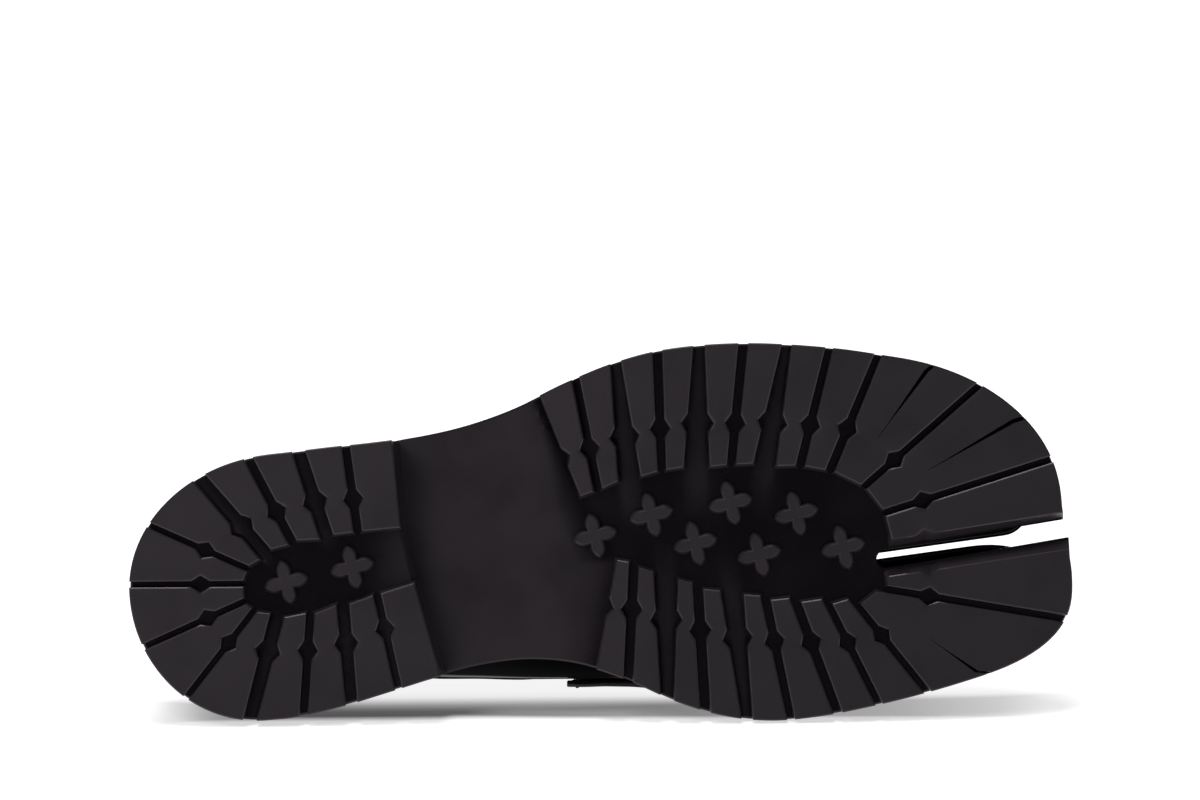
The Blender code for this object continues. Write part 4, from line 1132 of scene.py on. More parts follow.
BREAST_X = curve([Place(place.y, place.x) for place in BREAST], "y")

# Points of the heel's loop in a quarter turn, on a side and along the breast, and its rings on floor and wall
HEEL_TURNS = 34
HEEL_SIDE = 18
BREAST_STEPS = 40
FLOOR_RINGS = 26
WALL_RINGS = 16

# How late the breast's fillet comes on the way up, and how much and how late the wall's top is painted paler
# and glossier, a painted highlight along its top
FILLET_POWER = 7
WALL_TOP_HIGHLIGHT = 0.7
WALL_TOP_POWER = 6


def heel_loop(inset, lean):
    """Plan loop of the heel against the clock: lateral side from the back, breast, then the medial side;
    and a weight that is 1 on the breast."""
    sides = []
    quarter = np.linspace(0, np.pi / 2, HEEL_TURNS)
    for side, corner in ((LATERAL, BREAST[0]), (MEDIAL, BREAST[-1])):
        end = SOLE_HEEL[side]
        back = end.tip + inset.heel
        round_x = end.start - (end.start - back) * np.cos(quarter)
        x = np.concatenate((round_x, np.linspace(end.start, corner.x + lean, HEEL_SIDE)[1:]))
        sides.append(np.stack((x, sole_edge(side, x, inset)), axis=1))
    y = np.linspace(sides[0][-1, 1], sides[1][-1, 1], BREAST_STEPS)[1:-1]
    breast = np.stack((BREAST_X(y) + lean, y), axis=1)
    weight = np.concatenate((np.zeros(len(sides[0])), np.ones(len(breast)), np.zeros(len(sides[1]) - 1)))
    return np.concatenate((sides[0], breast, sides[1][:0:-1])), weight


def heel_sheet(sizes):
    """Heel block as rings: from the middle of its underside out to the edge, up the flared wall, and a top.
    Near the top the breast sweeps forward in a fillet."""
    lower, weight = heel_loop(BLOCK_INSET, 0.0)
    upper, _ = heel_loop(OUTSOLE_INSET, BREAST_LEAN)
    soft = sizes.edge_round / MM
    inside = lower - loop_offsets(lower) * soft
    centre = lower.mean(axis=0)
    shares = np.linspace(0, 1, FLOOR_RINGS)[:, None, None]
    floor = centre + shares * (inside - centre)
    swell, tread = heel_under(sizes)(floor[..., 0], floor[..., 1])
    floor = np.concatenate((floor, LUG_DEPTH - swell[..., None]), axis=-1)
    climb = np.linspace(0, 1, WALL_RINGS)[:, None, None]
    fillet = sizes.breast_fillet / MM * climb ** FILLET_POWER * weight[None, :, None] * np.array((1.0, 0.0))
    wall = lower + (upper - lower) * climb + fillet
    base = LUG_DEPTH + soft - swell[-1]
    top = rise(wall[-1, :, 0]) + GAP
    wall_z = base + (top - base) * climb[..., 0]
    wall = np.concatenate((wall, wall_z[..., None]), axis=-1)
    points = np.concatenate((floor, wall))
    # Painted light: the whole wall has the faces' tone, lighter than other walls, so that the breast facing
    # away from the light is not dark, and its top is painted paler and glossier as a highlight
    rubbed = 1 + WALL_TOP_HIGHLIGHT * climb[..., 0] ** WALL_TOP_POWER
    values = np.concatenate((tread, np.broadcast_to(rubbed, wall_z.shape)))
    rows, columns = values.shape
    return grid_sheet(points, values, wrap=True, caps=(range((rows - 1) * columns, rows * columns),))


# The upper's surface: side, place along the shoe, and s from the feather line up to the middle

def signed_power(value, power):
    """Power of the size of a value, with the value's sign."""
    return np.sign(value) * np.abs(value) ** power


def arch_point(side, x, s):
    """Single arch over the whole foot: powers of cosine across and sine up, swollen low on the wall."""
    heel = UPPER_HEEL[side]
    swell = BULGE[side](x) * closing((heel.start - x) / (heel.start - heel.tip), heel.power)
    outer = feather_edge(side, x) + side * swell
    middle = np.where(x < heel.start, heel.centre, RIDGE(x) + side * UPPER_SPLIT.half)
    a = np.pi / 2 * s
    y = middle + (outer - middle) * np.maximum(np.cos(a), 0) ** ARCH_SIDE
    y = y - side * swell * np.maximum(1 - s / BULGE_SPAN, 0.0) ** 2
    return y, (CREST(x) - feather(x)) * np.sin(a) ** ARCH_TOP


def lobe_point(side, x, s):
    """Arch over the big toe or over the other toes, from the outer feather line to the split's."""
    end = UPPER_TOE[side]
    swell = BULGE[side](x) * closing((x - SWELL_FADE) / (end.tip - SWELL_FADE), TOE_POWER)
    outer = feather_edge(side, x) + side * swell
    inner = split_line(UPPER_SPLIT, x) + side * UPPER_SPLIT.half
    turn = TOE_ROUND[side]
    inner = end.centre + (inner - end.centre) * closing((x - end.tip + turn) / turn, TOE_POWER)
    a = np.pi * s
    y = (outer + inner) / 2 + (outer - inner) / 2 * signed_power(np.cos(a), TOE_SIDE)
    drop = closing((x - end.tip + TOE_DROP) / TOE_DROP, TOE_POWER)
    return y, (CREST(x) - feather(x)) * drop * np.maximum(np.sin(a), 0.0) ** TOE_TOP


def upper_point(side, x, s):
    """Outer face of the upper: the single arch, blended into two toes towards the front. The blend is steep
    at the cleft and eases away from it."""
    x, s = np.broadcast_arrays(np.asarray(x, float), np.asarray(s, float))
    y, z = arch_point(side, x, s)
    t = np.clip((x - CLEFT_START) / (SPLIT_END - CLEFT_START), 0.0, 1.0)
    steep = 1 - (1 - t ** (2 + CLEFT_LATE * (1 - s))) ** (CLEFT_EDGE + CLEFT_EASE * (1 - s))
    share = smoothstep(LOBE_START, SPLIT_END, x)
    share = share + (steep - share) * s ** CLEFT_POWER
    lobe_y, lobe_z = lobe_point(side, x, s)
    y = y + (lobe_y - y) * share
    z = z + (lobe_z - z) * share
    lean = BACK_SHIFT(z) * np.maximum(1 - x / BACK_REACH, 0.0) ** 2
    return np.stack((x + lean, y, feather(x) + z), axis=-1)


# Small steps along x and s that give the upper's slopes
STEP_X = 0.4
STEP_S = 0.004


def upper_normal(side, x, s):
    """Outward unit normal of the upper, from small steps along and across it."""
    along = upper_point(side, x + STEP_X, s) - upper_point(side, x - STEP_X, s)
    high, low = np.minimum(s + STEP_S, 1), np.maximum(s - STEP_S, 0)
    across = upper_point(side, x, high) - upper_point(side, x, low)
    normal = np.cross(across, along) * side
    return normal / np.maximum(np.linalg.norm(normal, axis=-1, keepdims=True), TINY)


def on_upper(medial, x, s):
    """Points and normals of the upper, on the medial side where the mask says so."""
    mask = medial[..., None]
    return [np.where(mask, read(MEDIAL, x, s), read(LATERAL, x, s)) for read in (upper_point, upper_normal)]


def collar_share(x):
    """The s at which the topline cuts the arch; 1 where the upper is closed."""
    share = np.clip((COLLAR_HEIGHT(x) - feather(x)) / (CREST(x) - feather(x)), 0, 1)
    cut = np.arcsin(share ** (1 / ARCH_TOP)) * 2 / np.pi
    return np.where(x >= THROAT_X, 1.0, cut)


# Where the upper's sections go from angles round the heel to even steps, and back to angles round the toes,
# and how many there are in a quarter turn and in each stretch between
QUARTER_X = 45.0
NOSE_X = 256.0
UPPER_TURNS = 22
COLLAR_STEPS = 56
VAMP_STEPS = 30
LOBE_STEPS = 10


def upper_stations(side):
    """X places of the upper's sections: close together at heel, cleft and toe tip."""
    tip = UPPER_TOE[side].tip
    quarter = np.linspace(0, np.pi / 2, UPPER_TURNS)
    heel = QUARTER_X - (QUARTER_X - UPPER_HEEL[side].tip) * np.cos(quarter)
    body = np.linspace(QUARTER_X, THROAT_X, COLLAR_STEPS)[1:]
    vamp = np.linspace(THROAT_X, CLEFT_START, VAMP_STEPS)[1:]
    cleft = CLEFT_START + (SPLIT_END - CLEFT_START) * np.sin(quarter)[1:]
    toes = np.linspace(SPLIT_END, NOSE_X, LOBE_STEPS)[1:]
    nose = NOSE_X + (tip - NOSE_X) * np.sin(quarter)[1:]
    return np.concatenate((heel, body, vamp, cleft, toes, nose))


# Soft creases of the vamp and quarters: a trough from one place to another on the upper, in x and s
Crease = namedtuple("Crease", "side from_x from_s to_x to_s width depth")
CREASES = (
    Crease(MEDIAL, 178, 0.97, 194, 0.42, 4.0, 0.55),
    Crease(LATERAL, 180, 0.97, 190, 0.40, 4.2, 0.50),
    Crease(MEDIAL, 187, 0.95, 203, 0.50, 3.6, 0.40),
    Crease(LATERAL, 189, 0.95, 201, 0.46, 3.8, 0.40),
    Crease(LATERAL, 172, 0.60, 182, 0.25, 4.5, 0.35),
    Crease(MEDIAL, 180, 0.14, 200, 0.26, 5.0, 0.40),
    Crease(LATERAL, 96, 0.18, 128, 0.26, 6.5, 0.40),
    Crease(LATERAL, 60, 0.30, 74, 0.46, 7.0, 0.35),
    Crease(MEDIAL, 58, 0.32, 72, 0.48, 7.0, 0.35),
)
# Length of a side from feather line to middle, which turns steps of s to millimetres
GIRTH = 95.0
# How far a crease bows, the shares of its length over which it starts and stops, and the lip raised beside
# it: its share of the depth, and its distance in widths
CREASE_BOW = 2.5
CREASE_START = (-0.15, 0.2)
CREASE_STOP = (0.8, 1.15)
LIP_SHARE = 0.45
LIP_PLACE = 1.9


def crease_depth(side, x, s):
    """Depth of the creases: for each, a bell of the distance from its bowed line less a lower bell beside it,
    fading at both ends."""
    depth = np.zeros(np.broadcast(x, s).shape)
    for crease in CREASES:
        if crease.side != side:
            continue
        run = np.array((crease.to_x - crease.from_x, (crease.to_s - crease.from_s) * GIRTH))
        length = np.linalg.norm(run)
        dx, dy = x - crease.from_x, (s - crease.from_s) * GIRTH
        along = (dx * run[0] + dy * run[1]) / length ** 2
        bow = CREASE_BOW * np.sin(np.pi * np.clip(along, 0, 1))
        across = (dx * run[1] - dy * run[0]) / length + bow
        fade = smoothstep(*CREASE_START, along) * (1 - smoothstep(*CREASE_STOP, along))
        trough = np.exp(-(across / crease.width) ** 2)
        lip = np.exp(-((across - LIP_PLACE * crease.width) / crease.width) ** 2)
        depth = depth + crease.depth * fade * (trough - LIP_SHARE * lip)
    return depth


# Points across a side of the upper, and how far inside the heel's back, the topline's back and the toe's tip
# its normals are read
UPPER_ACROSS = 44
HEEL_INSIDE = 2.0
TOPLINE_INSIDE = 1.0
TIP_INSIDE = 1.0


def upper_sheets():
    """Two grids from feather line to middle, a strip that joins them along the vamp, and the toes' tips."""
    sheets, middles = [], []
    for side in (MEDIAL, LATERAL):
        places = upper_stations(side)
        x = places[:, None]
        s = collar_share(x) * np.linspace(0, 1, UPPER_ACROSS)
        points = upper_point(side, x, s)
        sunk = crease_depth(side, np.broadcast_to(x, s.shape), s)
        toe = UPPER_TOE[side]
        inside = np.clip(x, UPPER_HEEL[side].tip + HEEL_INSIDE, toe.tip - TIP_INSIDE)
        points = points - upper_normal(side, inside, s) * sunk[..., None]
        points[-1] = np.array((toe.tip, toe.centre, feather(toe.tip)))
        points = points if side == MEDIAL else points[:, ::-1]
        sheets.append(grid_sheet(points))
        closed = (places >= THROAT_X) & (places <= SPLIT_END)
        middles.append(points[closed, -1] if side == MEDIAL else points[closed, 0])
    sheets.append(grid_sheet(np.stack(middles, axis=1)))
    return sheets


# Points of the rolled topline in a quarter turn, on a side and round its tube, and how far it stands proud
ROLL_TURNS = 30
ROLL_STEPS = 70
ROLL_SIDES = 10
ROLL_PROUD = 0.2


def topline_path():
    """Closed path round the collar: medial from the throat to the heel, lateral back, and over the throat."""
    back = UPPER_HEEL[MEDIAL].tip
    quarter = np.linspace(0, np.pi / 2, ROLL_TURNS)
    places = np.concatenate((
        QUARTER_X - (QUARTER_X - back) * np.cos(quarter), np.linspace(QUARTER_X, THROAT_X, ROLL_STEPS)[1:]))
    inside = np.maximum(places, back + TOPLINE_INSIDE)
    share = collar_share(places)
    runs = [upper_point(side, places, share) - upper_normal(side, inside, share) * WALL / 2
            for side in (MEDIAL, LATERAL)]
    return np.concatenate((runs[0][::-1], runs[1][1:]))


def ring_sheet(path, radius):
    """Round tube along a closed path: at each point a circle across the path's own direction."""
    along = np.roll(path, -1, axis=0) - np.roll(path, 1, axis=0)
    along /= np.linalg.norm(along, axis=1, keepdims=True)
    across = np.cross(along, np.array((0.0, 0.0, 1.0)))
    across /= np.linalg.norm(across, axis=1, keepdims=True)
    up = np.cross(across, along)
    angle = np.linspace(0, 2 * np.pi, ROLL_SIDES, endpoint=False)
    points = path[:, None] + radius * (np.cos(angle)[None, :, None] * across[:, None]
                                       + np.sin(angle)[None, :, None] * up[:, None])
    return grid_sheet(np.concatenate((points, points[:1])), wrap=True)


def strap_place(across, along):
    """Point and normal on the upper under the strap. Across runs from the medial end (-1) over the middle (0)
    to the lateral end (1); along runs from the strap's rear edge (0) to its front edge (1)."""
    across, along = np.broadcast_arrays(np.asarray(across, float), np.asarray(along, float))
    share = 1 - np.abs(across)
    s = STRAP_END + (1 - STRAP_END) * share
    rear = STRAP_REAR[0] + (STRAP_REAR[1] - STRAP_REAR[0]) * share
    front = STRAP_FRONT[0] + (STRAP_FRONT[1] - STRAP_FRONT[0]) * share
    return on_upper(across < 0, rear + (front - rear) * along, s)


# Cells of the strap on one side and along it, and the share across that stands just beside the middle
STRAP_COLUMNS = 56
STRAP_ROWS = 30
BESIDE_MIDDLE = 1e-6


def strap_shares():
    """Shares across the strap: even on both sides, with one step over the middle strip."""
    half = np.linspace(-1, 0, STRAP_COLUMNS + 1)
    half[-1] = -BESIDE_MIDDLE
    return np.concatenate((half, -half[::-1]))


def strap_sheet():
    """Band on the upper between its cut ends, with a slot left open at its middle."""
    across = strap_shares()[:, None]
    along = np.linspace(0, 1, STRAP_ROWS + 1)[None]
    point, normal = strap_place(across, along)
    point = point + normal * STRAP_CLEAR
    across_mid = np.abs(across[:-1] + across[1:]) / 2
    along_mid = (along[:, :-1] + along[:, 1:]) / 2
    slot = (across_mid < SLOT_REACH) & (along_mid > SLOT_ACROSS[0]) & (along_mid < SLOT_ACROSS[1])
    return grid_sheet(point, keep=~slot)


def tongue_place(turn, x):
    """Point and normal of the tongue's top face: under the vamp, then on a straight slope out of the throat.
    Turn runs from its medial side (1) over its middle (0) to its lateral side (-1)."""
    turn, x = np.broadcast_arrays(np.asarray(turn, float), np.asarray(x, float))
    narrow = closing((TONGUE_TIP + TONGUE_ROUND - x) / TONGUE_BLUNT, TONGUE_POWER)
    s = 1 - (1 - TONGUE_SIDE) * np.abs(turn) * narrow
    on_vamp = np.maximum(x, THROAT_X)
    point, normal = on_upper(turn > 0, on_vamp, s)
    shift = x - on_vamp
    point = point + np.stack((shift, np.zeros_like(shift), TONGUE_SLOPE * shift), axis=-1)
    return point - normal * (WALL + TONGUE_CLEAR), normal


# Points across each side of the tongue and along it, and how they crowd towards its free end
TONGUE_COLUMNS = 16
TONGUE_ROWS = 40
TONGUE_CROWD = 1.3


def tongue_sheet():
    """Grid over the tongue's top face, from its free end to its tucked end."""
    half = np.linspace(1, BESIDE_MIDDLE, TONGUE_COLUMNS)
    turn = np.concatenate((half, -half[::-1]))[:, None]
    x = TONGUE_TIP + (TONGUE_TUCK - TONGUE_TIP) * np.linspace(0, 1, TONGUE_ROWS) ** TONGUE_CROWD
    point, _ = tongue_place(turn, x[None])
    return grid_sheet(point)


# Stitches: one short thread repeated along paths

# Rings of one stitch: place along it in lengths, and width and lift in thicknesses of the thread; points in a
# ring, and the share of its length over which its direction is read to both sides
STITCH_RINGS = np.array([
    (-0.5, 0.15, -0.5), (-0.42, 0.8, 0.0), (0.0, 1.0, 0.35), (0.42, 0.8, 0.0), (0.5, 0.15, -0.5)])
STITCH_SIDES = 6
STITCH_REACH = 0.45


def stitch_sheets(path, normals, sizes):
    """Stitches along a path: capsules of thread, evenly pitched, each bowed out of the leather.
    The template is rings along the stitch: a round section that narrows and dips at both ends."""
    step = np.linalg.norm(np.diff(path, axis=0), axis=1)
    run = np.concatenate(([0.0], np.cumsum(step)))
    pitch = (sizes.stitch_length + sizes.stitch_gap) / MM
    count = max(int(run[-1] / pitch), 1)
    at = (np.arange(count) + 0.5) * run[-1] / count
    length, thick = sizes.stitch_length / MM, sizes.thread / MM
    ends = length * STITCH_REACH

    def read(values, where):
        return np.stack([np.interp(where, run, values[:, axis]) for axis in range(3)], axis=-1)

    centre = read(path, at)
    along = read(path, np.minimum(at + ends, run[-1])) - read(path, np.maximum(at - ends, 0))
    along /= np.linalg.norm(along, axis=1, keepdims=True)
    up = read(normals, at)
    up -= along * np.sum(up * along, axis=1, keepdims=True)
    up /= np.linalg.norm(up, axis=1, keepdims=True)
    across = np.cross(up, along)
    place, width, lift = STITCH_RINGS.T[..., None]
    rings = len(STITCH_RINGS)
    angle = np.linspace(0, 2 * np.pi, STITCH_SIDES, endpoint=False)
    local = np.stack((
        np.broadcast_to(place * length, (rings, STITCH_SIDES)),
        width * thick / 2 * np.cos(angle),
        width * thick / 2 * np.sin(angle) + lift * thick / 2), axis=-1).reshape(-1, 3)
    axes = np.stack((along, across, up), axis=1)
    points = centre[:, None] + np.einsum("kc,ncd->nkd", local, axes)
    starts = np.arange(count) * len(local)
    quads = np.concatenate([grid_quads(rings, STITCH_SIDES, wrap=True) + start for start in starts])
    end_rings = np.stack((starts, starts + len(local) - STITCH_SIDES), axis=1).reshape(-1, 1)
    caps = (end_rings + np.arange(STITCH_SIDES)).tolist()
    return Sheet(points.reshape(-1, 3), quads, caps, np.zeros(count * len(local)))


# Where the welt's stitches start, and steps along a path
WELT_START = {MEDIAL: 158.0, LATERAL: 112.0}
WELT_STEPS = 60
TOPLINE_STEPS = 120
TONGUE_STEPS = 40

# How far a thread is lifted off its face or sunk into it, in thicknesses
THREAD_LIFT = 0.2
THREAD_SINK = 0.5

# Ends of the topline's stitches, the strap's two lines as shares along it, and the tongue's line: its turn
# and its ends along X
TOPLINE_FROM = THROAT_X - 1
TOPLINE_TO = 12.0
STRAP_LINES = (0.06, 0.94)
TONGUE_LINE = 0.86
TONGUE_FROM = THROAT_X - 4
TONGUE_TO = TONGUE_TIP + 5


def welt_path(side, sizes):
    """Stitch line on the welt, inside the midsole's edge, from the waist round the toe to the split."""
    toe = SOLE_TOE[side]
    tip = toe.tip - MIDSOLE_INSET.fore
    turn = np.sin(np.linspace(0, np.pi / 2, WELT_STEPS))[1:]
    x = np.concatenate((
        np.linspace(WELT_START[side], toe.start, WELT_STEPS), toe.start + (tip - toe.start) * turn))
    y = sole_edge(side, x, MIDSOLE_INSET)
    plan = np.stack((x, y), axis=1)
    step = np.gradient(plan, axis=0)
    step /= np.linalg.norm(step, axis=1, keepdims=True)
    inward = np.stack((step[:, 1], -step[:, 0]), axis=1) * side
    plan = plan + inward * sizes.welt_line / MM
    points = np.column_stack((plan, feather(plan[:, 0]) - GAP + sizes.thread / MM * THREAD_LIFT))
    return points, np.broadcast_to(np.array((0.0, 0.0, 1.0)), points.shape)


def topline_stitch_path(side, sizes):
    """Stitch line on the outer face, a little below the topline, from the throat to the heel."""
    x = np.linspace(TOPLINE_FROM, TOPLINE_TO, TOPLINE_STEPS)
    s = collar_share(x) - sizes.topline_line / MM / GIRTH
    normal = upper_normal(side, x, s)
    return upper_point(side, x, s) - normal * sizes.thread / MM * THREAD_SINK, normal


def strap_stitch_path(along, sizes):
    """Stitch line along one edge of the strap, from end to end."""
    across = strap_shares()[2:-2]
    point, normal = strap_place(across, np.full_like(across, along))
    return point + normal * (STRAP_CLEAR + STRAP_THICK + sizes.thread / MM * THREAD_LIFT), normal


def tongue_stitch_path(sizes):
    """Stitch line inside the tongue's free edge."""
    side = np.linspace(TONGUE_FROM, TONGUE_TO, TONGUE_STEPS)
    x = np.concatenate((side, np.full(TONGUE_STEPS, TONGUE_TO), side[::-1]))
    edge = np.full(TONGUE_STEPS, TONGUE_LINE)
    turn = np.concatenate((edge, np.linspace(TONGUE_LINE, -TONGUE_LINE, TONGUE_STEPS), -edge))
    point, normal = tongue_place(turn, x)
    return point + normal * sizes.thread / MM * THREAD_LIFT, normal


# Settings

class ShoeSoleSizes(bpy.types.PropertyGroup):
    """Finish of the sole"""
    lug_bevel: FloatProperty(
        name="Lug Bevel", description="Width of the bevel round each lug's face",
        default=0.45 * MM, unit="LENGTH")
    lug_draft: FloatProperty(
        name="Lug Draft", description="How far a lug's wall spreads down to its root",
        default=0.6 * MM, unit="LENGTH")
    lug_crease: FloatProperty(
        name="Lug Crease", description="Depth of the crease between a lug's notches",
        default=0.22 * MM, unit="LENGTH")
    waist_raise: FloatProperty(
        name="Waist Raise", description="Height of the waist over the hollow",
        default=2.2 * MM, unit="LENGTH")
    groove_ramp: FloatProperty(
        name="Groove Ramp", description="Height of the floor of a wide groove",
        default=0.4 * MM, unit="LENGTH")
    edge_round: FloatProperty(
        name="Edge Rounding", description="Size of the rounded edges of the layers",
        default=0.6 * MM, unit="LENGTH")
    breast_fillet: FloatProperty(
        name="Breast Fillet", description="Sweep of the heel's breast into the waist",
        default=0.8 * MM, unit="LENGTH")


class ShoeThreadSizes(bpy.types.PropertyGroup):
    """Threads and stitch lines"""
    thread: FloatProperty(
        name="Thread", description="Thickness of the thread", default=0.55 * MM, unit="LENGTH")
    stitch_length: FloatProperty(
        name="Stitch", description="Length of one stitch", default=3.2 * MM, unit="LENGTH")
    stitch_gap: FloatProperty(
        name="Gap", description="Gap between two stitches", default=0.8 * MM, unit="LENGTH")
    welt_line: FloatProperty(
        name="Welt Line", description="Distance of the welt's stitches from its edge",
        default=2.4 * MM, unit="LENGTH")
    topline_line: FloatProperty(
        name="Topline Line", description="Distance of the stitches under the topline",
        default=2.4 * MM, unit="LENGTH")


class ShoeColours(bpy.types.PropertyGroup):
    """Colours of the finishes, as sRGB hex values"""
    rubber_face: StringProperty(
        name="Rubber Face", description="Lug faces and waist", default="1F1E1F")
    # Painted highlight and rubbed wear: the paler colour of the lugs' edges
    rubber_edge: StringProperty(
        name="Rubber Edge", description="Rubbed edges of the lugs", default="2A252A")
    # Painted shade: the near black of the hollows and grooves
    rubber_hollow: StringProperty(
        name="Rubber Hollow", description="Hollows and grooves", default="040304")
    edge: StringProperty(name="Edge", description="Edge of the midsole", default="141314")
    leather: StringProperty(name="Leather", description="Upper, strap and tongue", default="0C0C0D")
    lining: StringProperty(name="Lining", description="Inside of the upper", default="1E1C1B")
    footbed: StringProperty(name="Footbed", description="Footbed", default="262321")
    thread: StringProperty(name="Thread", description="Stitches", default="161516")
    floor: StringProperty(name="Floor", description="Studio floor", default="F7F6F7")


class ShoeStage(bpy.types.PropertyGroup):
    """Camera and light"""
    lens: FloatProperty(name="Lens", description="Focal length of the camera", default=600.0, unit="CAMERA")
    sun: FloatProperty(name="Top Light", description="Strength of the broad light from above", default=0.95)
    sun_angle: FloatProperty(
        name="Top Light Size", description="Angle that the light from above fills", default=math.radians(22),
        subtype="ANGLE")
    sky: FloatProperty(name="Sky", description="Strength of the even light all round", default=0.11)
    box_power: FloatProperty(
        name="Softbox", description="Power of the softbox over the shoe", default=1.45, unit="POWER")


# Operators: one for each piece or group of like pieces

# Angles in degrees past which edges stay sharp: on rubber, on strap and tongue, and on the soft pieces
RUBBER_SHARP = 28
BAND_SHARP = 50
SOFT_SHARP = 60

# Room under the midsole, and the bevel of strap and tongue
MIDSOLE_ROOM = 0.05
BAND_BEVEL = 0.45

# The stage: the floor's reach, the softbox's size, place and aim and the camera's range in metres, the tilt
# of the light from above in degrees, and the camera's sensor in millimetres
FLOOR_REACH = 12.0
BOX_SIZE = 0.3
BOX_PLACE = (-0.4, -0.5, 0.5)
BOX_AIM = (0.4, 0.5, -0.45)
CAMERA_RANGE = 50.0
TOP_LIGHT_TILT = (10, -6, 0)
SENSOR_WIDTH = 36.0


class SHOE_OT_outsole(bpy.types.Operator):
    """Build the rubber outsole: plate with waist and split toe, forefoot lugs and cross studs"""
    bl_idname = "shoe.outsole"
    bl_label = "Outsole"

    def execute(self, context):
        sizes = context.scene.shoe_sole
        rubber = moulded_rubber("moulded_black_rubber", context.scene.shoe_colours)
        sheets = layer_sheets(
            SOLE_FORM, OUTSOLE_INSET, OUTSOLE_SPLIT, rise, lambda x: rise(x) + OUTSOLE_THICK,
            sizes.edge_round / MM, SWELL_UNDER, forefoot_under(sizes), OUTSOLE_FOOT)
        for ring, cut_end in ((FORE_LATERAL, LATERAL_END), (FORE_MEDIAL, MEDIAL_END)):
            sheets += lug_sheets(ring, sizes, rise, cut_end)
        sheets += [stud_sheet(place, rise) for place in FORE_STUDS]
        new_piece("lugged_outsole", sheets, [rubber], "outsole", sharp=RUBBER_SHARP)
        return {"FINISHED"}


class SHOE_OT_heel(bpy.types.Operator):
    """Build the rubber heel: flared block with its breast, ring of lugs and cross studs"""
    bl_idname = "shoe.heel"
    bl_label = "Heel"

    def execute(self, context):
        sizes = context.scene.shoe_sole
        rubber = moulded_rubber("moulded_heel_rubber", context.scene.shoe_colours)
        sheets = [heel_sheet(sizes)] + lug_sheets(HEEL_RING, sizes, heel_floor, HEEL_END)
        sheets += [stud_sheet(place, heel_floor) for place in HEEL_STUDS]
        new_piece("lugged_heel", sheets, [rubber], "heel_block", sharp=RUBBER_SHARP)
        return {"FINISHED"}


class SHOE_OT_layers(bpy.types.Operator):
    """Build the midsole with its welt edge, and the footbed"""
    bl_idname = "shoe.layers"
    bl_label = "Midsole and Footbed"

    def execute(self, context):
        sizes, colours = context.scene.shoe_sole, context.scene.shoe_colours
        rounding = sizes.edge_round / MM
        low = OUTSOLE_THICK + MIDSOLE_ROOM
        high = OUTSOLE_THICK + GAP + MIDSOLE_THICK
        midsole = layer_sheets(
            SOLE_FORM, MIDSOLE_INSET, MIDSOLE_SPLIT, lambda x: rise(x) + low, lambda x: rise(x) + high,
            rounding, PLAIN_UNDER)
        edge = dressed_edge("dressed_sole_edge", colours)
        new_piece("welted_midsole", midsole, [edge], "midsole")
        clear = WALL + 3 * GAP
        base = high + GAP
        split = UPPER_SPLIT._replace(half=UPPER_SPLIT.half + clear)
        footbed = layer_sheets(
            FOOTBED_FORM, Inset(clear, clear), split, lambda x: rise(x) + base,
            lambda x: rise(x) + base + INSOLE_THICK, rounding, PLAIN_UNDER)
        leather = plain_leather("footbed_leather", colours.footbed, pore=1.1, roughness=0.62)
        new_piece("leather_footbed", footbed, [leather], "insole")
        return {"FINISHED"}


class SHOE_OT_upper(bpy.types.Operator):
    """Build the leather upper with its lining, creases and rolled topline"""
    bl_idname = "shoe.upper"
    bl_label = "Upper"

    def execute(self, context):
        colours = context.scene.shoe_colours
        leather = polished_leather("polished_box_calf", colours)
        lining = plain_leather("lining_leather", colours.lining, pore=0.8, roughness=0.55)
        upper = new_piece("split_toe_upper", upper_sheets(), [leather, lining], "upper",
                          sharp=SOFT_SHARP, outward=False)
        wall = add_wall(upper, WALL, -1)
        wall.material_offset = 1
        new_piece("rolled_topline", [ring_sheet(topline_path(), WALL / 2 + ROLL_PROUD)], [leather])
        return {"FINISHED"}


class SHOE_OT_strap(bpy.types.Operator):
    """Build the saddle strap with its slot, and the tongue"""
    bl_idname = "shoe.strap"
    bl_label = "Strap and Tongue"

    def execute(self, context):
        leather = polished_leather("polished_strap_calf", context.scene.shoe_colours)
        pieces = (
            ("slotted_strap", strap_sheet(), "saddle_strap", STRAP_THICK, -1),
            ("padded_tongue", tongue_sheet(), "tongue", TONGUE_THICK, 1),
        )
        for name, sheet, node, thickness, offset in pieces:
            piece = new_piece(name, [sheet], [leather], node, sharp=BAND_SHARP, outward=False)
            add_wall(piece, thickness, offset)
            rounding = piece.modifiers.new("rounding", "BEVEL")
            rounding.width = BAND_BEVEL * MM
            rounding.segments = 2
            rounding.limit_method = "ANGLE"
            rounding.angle_limit = math.radians(BAND_SHARP)
        return {"FINISHED"}


class SHOE_OT_stitches(bpy.types.Operator):
    """Sew the welt, the topline, the strap and the tongue"""
    bl_idname = "shoe.stitches"
    bl_label = "Stitches"

    def execute(self, context):
        sizes = context.scene.shoe_thread
        thread = waxed_thread("waxed_black_thread", context.scene.shoe_colours)
        lines = (
            ("welt_stitches", "midsole", [welt_path(side, sizes) for side in (MEDIAL, LATERAL)]),
            ("topline_stitches", "upper", [topline_stitch_path(side, sizes) for side in (MEDIAL, LATERAL)]),
            ("strap_stitches", "saddle_strap", [strap_stitch_path(along, sizes) for along in STRAP_LINES]),
            ("tongue_stitches", "tongue", [tongue_stitch_path(sizes)]),
        )
        for name, slot, paths in lines:
            sheets = [stitch_sheets(*path, sizes) for path in paths]
            new_piece(name, sheets, [thread], sharp=SOFT_SHARP)
        return {"FINISHED"}


